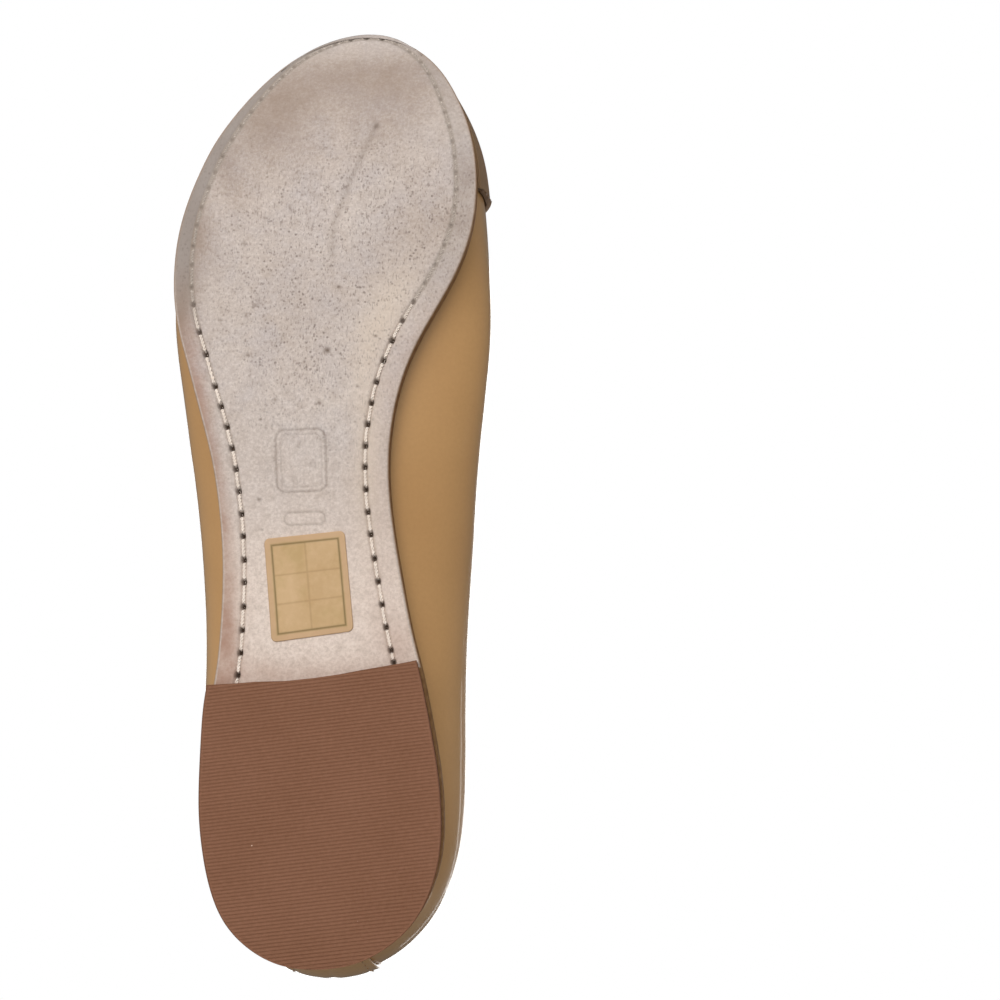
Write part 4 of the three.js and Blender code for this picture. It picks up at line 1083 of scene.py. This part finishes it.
def hide_soft(U, V, Pq):
    """Slow waviness of lasted leather, fading out towards the feather and the topline."""
    n = value_noise(Pq, 34, 11, 2) * 0.28 + value_noise(Pq, 13, 12, 2) * 0.07
    body = smoothstep(0.04, 0.2, V) * smoothstep(1.0, 0.93, V)
    y = Pq[..., 1]
    # walking creases where the vamp bends, both sides of the throat
    side = np.sign(Pq[..., 0])
    cr = 0.0
    for c0, amp, wdt in ((-66, 0.16, 3.2), (-57, 0.22, 3.6), (-47, 0.14, 3.4)):
        yy = c0 + 0.22 * (np.abs(Pq[..., 0]) - 30) + 1.6 * np.sin(Pq[..., 2] * 0.16 + c0)
        cr = cr - amp * np.exp(-((y - yy) / wdt) ** 2)
    cr = cr * smoothstep(0.52, 0.68, V) * smoothstep(0.97, 0.86, V) * smoothstep(16, 24, np.abs(Pq[..., 0] + 1))
    return (n * body + cr)


# the attribute below paints crease shade mixed with edge dye along the foot of the upper
patch("patent_upper_piece", us_full, upper_rows, 0.0, -UPPER_T, M_PATENT, "vamp_and_quarters", disp=hide_soft,
      attrs={"feather_shade_and_dye": lambda v: 0.35 * smoothstep(0.03, 0.01, v)})

# toe cap with a folded rear edge
def cap_side(a, b):
    """Where the rear line meets the foot of the wall; a is in front of it, b behind."""
    for _ in range(40):
        m = (a + b) / 2
        if S(np.array(m), np.array(0.16))[1] > CAP_Y + 3:
            b = m
        else:
            a = m
    return a


_ua, _ub = cap_side(-4.0, -9.5), cap_side(4.0, 9.5)
us_cap = (_ua + _ub) / 2 - (_ub - _ua) / 2 * np.cos(np.linspace(0, np.pi, 260))


def cap_end(us):
    e = solve_v(us, lambda q, m: S(q, m)[..., 1] > CAP_Y + 3)
    return np.maximum(e, 0.16)


def cap_rows(us):
    e = cap_end(us)
    t = np.linspace(0, 1, 44)
    return 0.1 + (e[:, None] - 0.1) * t[None, :]


def cap_disp(U, V, Pq):
    e = cap_end(U[:, 0])[:, None]
    L = (e - V) * 74
    fold = 0.32 * np.exp(-((L - 1.6) / 2.2) ** 2) * smoothstep(0, 0.6, L + 0.4)
    return value_noise(Pq, 30, 21, 2) * 0.22 + fold + 0.0 * V


patch("toe_cap_piece", us_cap, cap_rows, GAP + 0.35 + CAP_T, GAP + 0.35 - 0.3, M_CAP, "toe_cap", disp=cap_disp, fat=(0, 0.12))

# strap over the back seam, edge-stitched
hw = STAY_W / 2 / 9.48
us_stay = np.linspace(32 - hw, 32 + hw, 60)
patch("backstay_piece", us_stay, lambda us: np.broadcast_to(np.linspace(0.06, 0.915, 56)[None], (len(us), 56)), GAP + 0.15 + STAY_T - 0.15, GAP + 0.15 - 0.35, M_PATENT, "backstay",
      disp=lambda U, V, Pq: 0.12 * value_noise(Pq, 16, 31, 2) + 0.0 * V - 0.25 * np.exp(-((U - 32) * 9.48 / 1.0) ** 2) - 0.16 * np.exp(-((np.abs(U - 32) * 9.48 - 8.6) / 0.6) ** 2))

# binding: rolled leather with gathers from the elastic
nB = 1536
ub2 = np.arange(nB) * K / nB
T1 = S(ub2, np.ones(nB))
q995 = S(ub2, np.full(nB, 0.995))
Lb = np.linalg.norm(T1 - q995, axis=1) / 0.005
v5 = 1 - 5.0 / Lb
eb = (T1 - q995) / np.linalg.norm(T1 - q995, axis=1, keepdims=True)
nbn, _ = frame_at(ub2, np.ones(nB))
e1d = -UPPER_T - GAP - LAYER_T - GAP - LINING_T - 0.3
O_, I_ = GAP, e1d
w8 = 0.8
arc_b = np.concatenate([[0], np.cumsum(np.linalg.norm(np.diff(T1, axis=0), axis=1))])
pk = 0.5 + 0.5 * np.sin(2 * np.pi * arc_b / 3.4 + 2.2 * value_noise(np.c_[arc_b, arc_b * 0, arc_b * 0], 9, 41, 2))
pucker = (pk ** 2) * (0.45 + 0.3 * value_noise(np.c_[arc_b, arc_b * 0, arc_b * 0], 22, 42, 2))


def up(d, h):
    return T1 + nbn * np.asarray(d)[..., None] + eb * np.asarray(h)[..., None]


def leg(f, d):
    return at(ub2, 1 - (1 - v5) * f, d)


pu = pucker
sec = [leg(1.0, O_ + 0.25), leg(1.0, O_ + w8 * 0.75), leg(0.92, O_ + w8), leg(0.7, O_ + w8 - 0.12), leg(0.45, O_ + w8 + 0.10 - 0.25 * pu), leg(0.2, O_ + w8 + 0.22 - 0.35 * pu),
       up(O_ + w8 + 0.2 - 0.35 * pu, 0.5 + 0 * pu), up(O_ + w8 - 0.1 - 0.25 * pu, 1.7 + 0 * pu), up(O_ - 0.4 + 0 * pu, 2.6 - 0.3 * pu), up((O_ + I_) / 2 + 0 * pu, 2.95 - 0.4 * pu), up(I_ + 0.5 + 0 * pu, 2.6 - 0.3 * pu),
       up(I_ - w8 + 0.2 + 0.2 * pu, 1.6 + 0 * pu), up(I_ - w8 + 0.3 * pu, 0.4 + 0 * pu), leg(0.25, I_ - w8 + 0.25 * pu), leg(0.6, I_ - w8), leg(0.93, I_ - w8), leg(1.0, I_ - w8 * 0.7), leg(1.0, I_),
       leg(0.5, I_), up(I_ + 0 * pu, 1.4 + 0 * pu), up(O_ + 0 * pu, 1.4 + 0 * pu), leg(0.5, O_)]
A = np.stack(sec, 1)
make("topline_binding_piece", A, tube_faces(nB, A.shape[1], True), M_PATENT, "topline_binding")
# elastic, a flat band in the crown
cE = (O_ + I_) / 2
el = np.stack([up(cE + a + 0 * pu, h + 0 * pu) for a, h in ((1.1, 0.35), (1.15, 0.7), (1.0, 1.15), (0, 1.2), (-1.0, 1.15), (-1.15, 0.7), (-1.1, 0.35), (0, 0.3))], 1)
make("topline_elastic_piece", el, tube_faces(nB, 8, True), M_ELASTIC, "topline_elastic")

# inner layers
d0 = -UPPER_T - GAP
d1 = d0 - LAYER_T
e0_ = d1 - GAP
e1_ = e0_ - LINING_T


def wall(top, n=26, lo=None):
    def f(us):
        a = foot_v(us) if lo is None else lo(us)
        t = np.linspace(0, 1, n)
        return a[:, None] + (top - a[:, None]) * t[None, :]
    return f


patch("toe_puff_piece", np.linspace(-9.9, 9.9, 120), wall(0.74), d0 - 0.02, d1, M_PUFF, "toe_puff")
patch("heel_counter_piece", np.linspace(22.1, 41.9, 120), wall(0.74), d0 - 0.02, d1, M_PUFF, "heel_counter")
patch("interlining_lateral_piece", np.linspace(10.1, 21.9, 70), wall(0.87), d0 - 0.02, d1, M_CLOTH, "quarter_interlining_lateral")
patch("interlining_medial_piece", np.linspace(42.1, 53.9, 70), wall(0.87), d0 - 0.02, d1, M_CLOTH, "quarter_interlining_medial")
lin_noise = lambda U, V, Pq: value_noise(Pq, 24, 51, 2) * 0.18 * smoothstep(1.0, 0.9, V)
patch("vamp_lining_piece", np.linspace(-13.99, 13.99, 230), wall(0.995, 44), e0_ - 0.02, e1_, M_LINING, "vamp_lining", disp=lin_noise)
patch("quarter_lining_piece", np.linspace(14.01, 49.99, 300), wall(0.995, 40), e0_ - 0.02, e1_, M_LINING, "quarter_lining", disp=lin_noise)


# ------------------------------------------------------------------ layers under the foot
def plate(name, inset, lo, hi, mat, node, n=640, cols=41, crown=None, round_r=0.5, attrs=None):
    uu = np.arange(n) * K / n
    rings, rr = [], round_r
    for ins, z in ((inset + rr * 0.6, lo), (inset + rr * 0.15, lo + rr * 0.3), (inset, (lo + hi) / 2), (inset + rr * 0.15, hi - rr * 0.3), (inset + rr * 0.6, hi)):
        e = edge(uu, ins)[0]
        rings.append(xyz(e, top_z(e[:, 1]) + z))
    R = np.stack(rings)
    Hh = n // 2
    def ladder(ring_, base, off, zz):
        k = np.arange(1, Hh)
        a, b = ring_[k], ring_[n - k]
        t = np.linspace(0, 1, cols)[None, 1:-1, None]
        q = a[:, None] * (1 - t) + b[:, None] * t
        q[..., 2] = top_z(q[..., 1]) + zz
        if crown is not None:
            q[..., 2] += crown(q[..., 0], q[..., 1], t[..., 0] * np.ones(q.shape[:2]), zz)
        w = cols - 2
        def vid(kk, c):
            mid = off + (np.clip(kk, 1, Hh - 1) - 1) * w + np.clip(c - 1, 0, w - 1)
            r = np.where(c == 0, base + kk % n, np.where(c == cols - 1, base + (n - kk) % n, mid))
            return np.where((kk == 0) | (kk == Hh), base + kk % n, r)
        i, j = np.meshgrid(np.arange(Hh), np.arange(cols - 1), indexing="ij")
        f = np.stack([vid(i, j), vid(i, j + 1), vid(i + 1, j + 1), vid(i + 1, j)], -1).reshape(-1, 4)
        a_ = f[f[:, 0] == f[:, 1]][:, [0, 2, 3]]
        b_ = f[f[:, 2] == f[:, 3]][:, [0, 1, 2]]
        ok = ~((f[:, 0] == f[:, 1]) | (f[:, 2] == f[:, 3]))
        return q.reshape(-1, 3), f[ok], np.concatenate([a_, b_])
    V = [R.reshape(-1, 3)]
    off = 5 * n
    q0, f0, t0 = ladder(R[0], 0, off, lo)
    off += len(q0)
    q1, f1, t1 = ladder(R[4], 4 * n, off, hi)
    V += [q0, q1]
    return make(name, np.concatenate(V), [np.concatenate([tube_faces(5, n, False), f0, f1]), np.concatenate([t0, t1])], mat, node, attrs=attrs)


boardLo = 2 * GAP + UPPER_T
boardHi = boardLo + BOARD_T
foamLo = boardHi + GAP
foamHi = foamLo + FOAM_T
sockLo = foamHi + GAP
sockHi = sockLo + SOCK_T
plate("insole_board_piece", BOARD_IN, boardLo, boardHi, M_BOARD, "insole_board")


def foot_bed(x_, y_, t_, zz):
    edge_rise = 0.9 * smoothstep(0.30, 0.5, np.abs(t_ - 0.5)) * smoothstep(-120, -60, y_)
    heel_cup = -0.7 * in_gauss(x_, y_, -1, 92, 16, 20)
    ball = -0.5 * in_gauss(x_, y_, -2, -62, 22, 16)
    return edge_rise + heel_cup + ball + 0.10 * value_noise(np.stack([x_, y_, y_ * 0], -1), 18, 61, 2)


foam = plate("sock_foam_piece", SOCK_IN, foamLo, foamHi, M_FOAM, "sock_foam", crown=lambda a, b, c, zz: foot_bed(a, b, c, zz) if zz > foamLo + 1 else 0 * a, round_r=0.8)
plate("sock_lining_piece", SOCK_IN - 0.5, sockLo, sockHi, M_SOCK, "sock_lining", crown=foot_bed, cols=61)

# ------------------------------------------------------------------ fine seams
# rows of topstitching: binding, strap, cap, lining joins
tp = Parts()
nb2, _ = frame_at(ub2, 1 - (1 - v5) * 0.82)
ring_path = leg(0.82, O_ + w8 - 0.02)
thread_run(tp, np.vstack([ring_path, ring_path[:1]]), np.vstack([nb2, nb2[:1]]), 2.7, 2.0, 0.21, 0.10, 0.22)
for sx in (-1, 1):
    for vv in (np.linspace(0.10, 0.905, 120),):
        uu = 32 + sx * (STAY_W / 2 - 1.9) / 9.48 + 0 * vv
        n, _ = frame_at(uu, vv)
        thread_run(tp, at(uu, vv, GAP + 0.15 + STAY_T - 0.28), n, 2.8, 2.05, 0.22, 0.12, 0.22)
tp.build("topstitch_patent", M_TOPTHREAD, ())
cp = Parts()
for back in (2.6,):
    e = cap_end(us_cap)
    vv = e - back / 74
    keep = vv > 0.13
    n, _ = frame_at(us_cap[keep], vv[keep])
    thread_run(cp, at(us_cap[keep], vv[keep], GAP + 0.35 + CAP_T + 0.12), n, 2.5, 1.8, 0.19, 0.10, 0.2)
cp.build("topstitch_cap", M_CAPTHREAD, ())
lp = Parts()
for uc, sg in ((14.35, 1), (13.65, 1), (49.65, 1), (50.35, 1)):
    vv = np.linspace(0.3, 0.9, 80)
    uu = np.full(80, uc)
    n, _ = frame_at(uu, vv)
    thread_run(lp, at(uu, vv, e1_), -n, 2.6, 1.9, 0.18, 0.08, 0.2)
ue = np.arange(900) * K / 900
ee, _ = edge(ue, SOCK_IN + 2.2)
zz = top_z(ee[:, 1]) + sockHi + 0.45
path = xyz(ee, zz)
lp.build("lining_stitching", M_LINTHREAD, ())

# ------------------------------------------------------------------ paper label on the waist
nu, nv = 90, 110
a, b = np.meshgrid(np.linspace(0, 1, nu), np.linspace(0, 1, nv), indexing="ij")
wa, wb = 23.0, 28.5
ca, cb = np.maximum(0, 1.5 - np.minimum(a, 1 - a) * wa), np.maximum(0, 1.5 - np.minimum(b, 1 - b) * wb)
k_ = np.where((ca > 0) & (cb > 0), np.maximum(ca, cb) / np.maximum(np.hypot(ca, cb), 1e-9), 1.0)
a2 = np.where(a < 0.5, a + ca * (1 - k_) / wa, a - ca * (1 - k_) / wa)
b2 = np.where(b < 0.5, b + cb * (1 - k_) / wb, b - cb * (1 - k_) / wb)
la, lb = a * wa, b * wb
a, b = a2, b2
lab = (LABEL[0] * (1 - a)[..., None] + LABEL[1] * a[..., None]) * (1 - b)[..., None] + (LABEL[3] * (1 - a)[..., None] + LABEL[2] * a[..., None]) * b[..., None]
curl = 0.10 * smoothstep(0.12, 0.0, np.minimum(np.minimum(a, 1 - a), np.minimum(b, 1 - b))) * value_noise(xyz(lab, 0 * a), 9, 71, 2)
wr = 0.05 * value_noise(xyz(lab, 0 * a), 3.2, 72, 3)
zl = sole_z(lab[..., 1])
lo_, hi_ = xyz(lab, zl - 0.26 - np.abs(curl) - 0.05 + wr), xyz(lab, zl + 0.0 + 0 * wr)
V = np.concatenate([lo_.reshape(-1, 3), hi_.reshape(-1, 3)])
i, j = np.meshgrid(np.arange(nu - 1), np.arange(nv - 1), indexing="ij")
q = np.stack([i * nv + j, i * nv + j + 1, (i + 1) * nv + j + 1, (i + 1) * nv + j], -1).reshape(-1, 4)
per = np.concatenate([np.arange(nv), np.arange(1, nu) * nv + nv - 1, (nu - 1) * nv + np.arange(nv - 2, -1, -1), np.arange(nu - 2, 0, -1) * nv])
rim_q = np.stack([per, np.roll(per, -1), np.roll(per, -1) + nu * nv, per + nu * nv], -1)
dx_, dy_ = np.minimum(la, 23.0 - la), np.minimum(lb, 28.5 - lb)
inset_d = np.minimum(dx_, dy_)
line = np.exp(-((inset_d - 2.0) / 0.26) ** 2)
inside = (inset_d > 2.2)
faint = np.maximum.reduce([np.exp(-((la - 11.5) / 0.22) ** 2), np.exp(-((lb - 10.4) / 0.22) ** 2), np.exp(-((lb - 18.4) / 0.22) ** 2)]) * inside * 0.5
z2 = np.zeros(nu * nv)
make("waist_label_piece", V, np.concatenate([q, q + nu * nv, rim_q]), M_LABEL, "composition_label",
     attrs={"line": np.r_[line.reshape(-1) * 0.85, z2], "faint": np.r_[faint.reshape(-1), z2], "border": np.r_[(smoothstep(1.8, 1.2, inset_d)).reshape(-1) * 0.6, z2]})

# ------------------------------------------------------------------ hidden CAD pieces keep their shape and get a finish
def finish_node(name, mat):
    o = frame["nodes"][name]
    o.data.materials.clear()
    o.data.materials.append(mat)


for n_ in ("shank", "shank_rivet_front", "shank_rivet_rear", "heel_nail_1", "heel_nail_2", "heel_nail_3", "heel_nail_4", "heel_nail_5"):
    finish_node(n_, M_STEEL)
finish_node("bottom_filler", M_CORK)

# ------------------------------------------------------------------ floor, light
def emit_plane(name, size, loc, z_up=True):
    me = bpy.data.meshes.new(name)
    h = size / 2
    vs = [(-h, -h, 0), (h, -h, 0), (h, h, 0), (-h, h, 0)]
    me.from_pydata(vs, [], [(0, 1, 2, 3)])
    o = bpy.data.objects.new(name, me)
    o.location = loc
    bpy.context.scene.collection.objects.link(o)
    return o


floor = emit_plane("floor", 30.0, (0, 0, -0.0004))
fm = bpy.data.materials.new("floor_paper")
fm.use_nodes = True
ft = fm.node_tree
fb = ft.nodes["Principled BSDF"]
fb.inputs["Base Color"].default_value = (0.86, 0.855, 0.85, 1)
fb.inputs["Roughness"].default_value = 0.9
fb.inputs["Specular IOR Level"].default_value = 0.1
# plain paper near the object, running out into the white backdrop
geo = ft.nodes.new("ShaderNodeNewGeometry")
ln = ft.nodes.new("ShaderNodeVectorMath")
ln.operation = "LENGTH"
ft.links.new(geo.outputs["Position"], ln.inputs[0])
mr = ft.nodes.new("ShaderNodeMapRange")
mr.interpolation_type = "SMOOTHERSTEP"
mr.inputs[1].default_value, mr.inputs[2].default_value = 0.22, 1.1
ft.links.new(ln.outputs["Value"], mr.inputs[0])
em = ft.nodes.new("ShaderNodeEmission")
em.inputs["Color"].default_value = (1, 1, 1, 1)
em.inputs["Strength"].default_value = 1.0
fade = ft.nodes.new("ShaderNodeMixShader")
ft.links.new(mr.outputs[0], fade.inputs[0])
ft.links.new(fb.outputs[0], fade.inputs[1])
ft.links.new(em.outputs[0], fade.inputs[2])
tr = ft.nodes.new("ShaderNodeBsdfTransparent")
mx = ft.nodes.new("ShaderNodeMixShader")
ft.links.new(geo.outputs["Backfacing"], mx.inputs[0])
ft.links.new(fade.outputs[0], mx.inputs[1])
ft.links.new(tr.outputs[0], mx.inputs[2])
ft.links.new(mx.outputs[0], ft.nodes["Material Output"].inputs["Surface"])
floor.data.materials.append(fm)
floor.visible_diffuse = floor.visible_glossy = floor.visible_transmission = floor.visible_shadow = False

world = bpy.data.worlds.new("studio")
bpy.context.scene.world = world
world.use_nodes = True
wt = world.node_tree
bg = wt.nodes["Background"]
bg.inputs["Color"].default_value = (1, 1, 1, 1)
bg.inputs["Strength"].default_value = 0.24
bg2 = wt.nodes.new("ShaderNodeBackground")
bg2.inputs["Color"].default_value = (1, 1, 1, 1)
bg2.inputs["Strength"].default_value = 1.0
bg3 = wt.nodes.new("ShaderNodeBackground")
bg3.inputs["Color"].default_value = (1.0, 0.95, 0.86, 1)
bg3.inputs["Strength"].default_value = 0.13
lpn = wt.nodes.new("ShaderNodeLightPath")
wg = wt.nodes.new("ShaderNodeMixShader")
wt.links.new(lpn.outputs["Is Glossy Ray"], wg.inputs[0])
wt.links.new(bg.outputs[0], wg.inputs[1])
wt.links.new(bg3.outputs[0], wg.inputs[2])
wm = wt.nodes.new("ShaderNodeMixShader")
wt.links.new(lpn.outputs["Is Camera Ray"], wm.inputs[0])
wt.links.new(wg.outputs[0], wm.inputs[1])
wt.links.new(bg2.outputs[0], wm.inputs[2])
wt.links.new(wm.outputs[0], wt.nodes["World Output"].inputs["Surface"])


def area(name, loc, target, size, power, color=(1, 1, 1), size_y=None):
    ld = bpy.data.lights.new(name, "AREA")
    ld.energy, ld.size, ld.color = power, size, color
    if size_y:
        ld.shape, ld.size_y = "RECTANGLE", size_y
    o = bpy.data.objects.new(name, ld)
    o.location = loc
    o.rotation_mode = "QUATERNION"
    o.rotation_quaternion = (Vector(target) - Vector(loc)).to_track_quat("-Z", "Y")
    bpy.context.scene.collection.objects.link(o)
    o.visible_camera = False
    return o


def no_gloss(o):
    o.visible_glossy = False
    return o


def glint(o):
    o.visible_diffuse = False
    return o


no_gloss(area("under_key", (-0.22, -0.40, -1.0), (0, 0, 0.01), 0.8, 10.9))
no_gloss(area("under_fill", (0.45, 0.20, -0.85), (0, 0.03, 0.02), 0.6, 1.8))
area("overhead", (0.0, 0.05, 1.1), (0, 0, 0.03), 1.0, 8.5)
area("top_key", (-0.75, -0.85, 0.48), (0, 0, 0.03), 0.5, 7.0, size_y=0.75)
area("back_key", (-0.85, 0.55, 0.55), (0, 0.03, 0.03), 0.5, 4.5, size_y=0.7)
glint(area("rear_box", (0.80, 0.85, 0.38), (0, 0.03, 0.03), 0.22, 0.45, size_y=0.5))
no_gloss(area("side_fill", (1.0, -0.15, 0.75), (0, 0, 0.03), 0.8, 2.5))
glint(area("streak", (0.52, 0.42, 0.88), (0.02, 0.06, 0.03), 1.0, 0.2, size_y=0.035))
glint(area("glint_a", (1.1, 0.16, 0.06), (0.03, 0.0, 0.03), 0.012, 0.012, size_y=0.07))
glint(area("glint_b", (1.0, 0.42, -0.05), (0.03, 0.05, 0.03), 0.012, 0.012, size_y=0.07))

bpy.context.scene.view_settings.view_transform = "Standard"
bpy.context.scene.view_settings.look = "None"
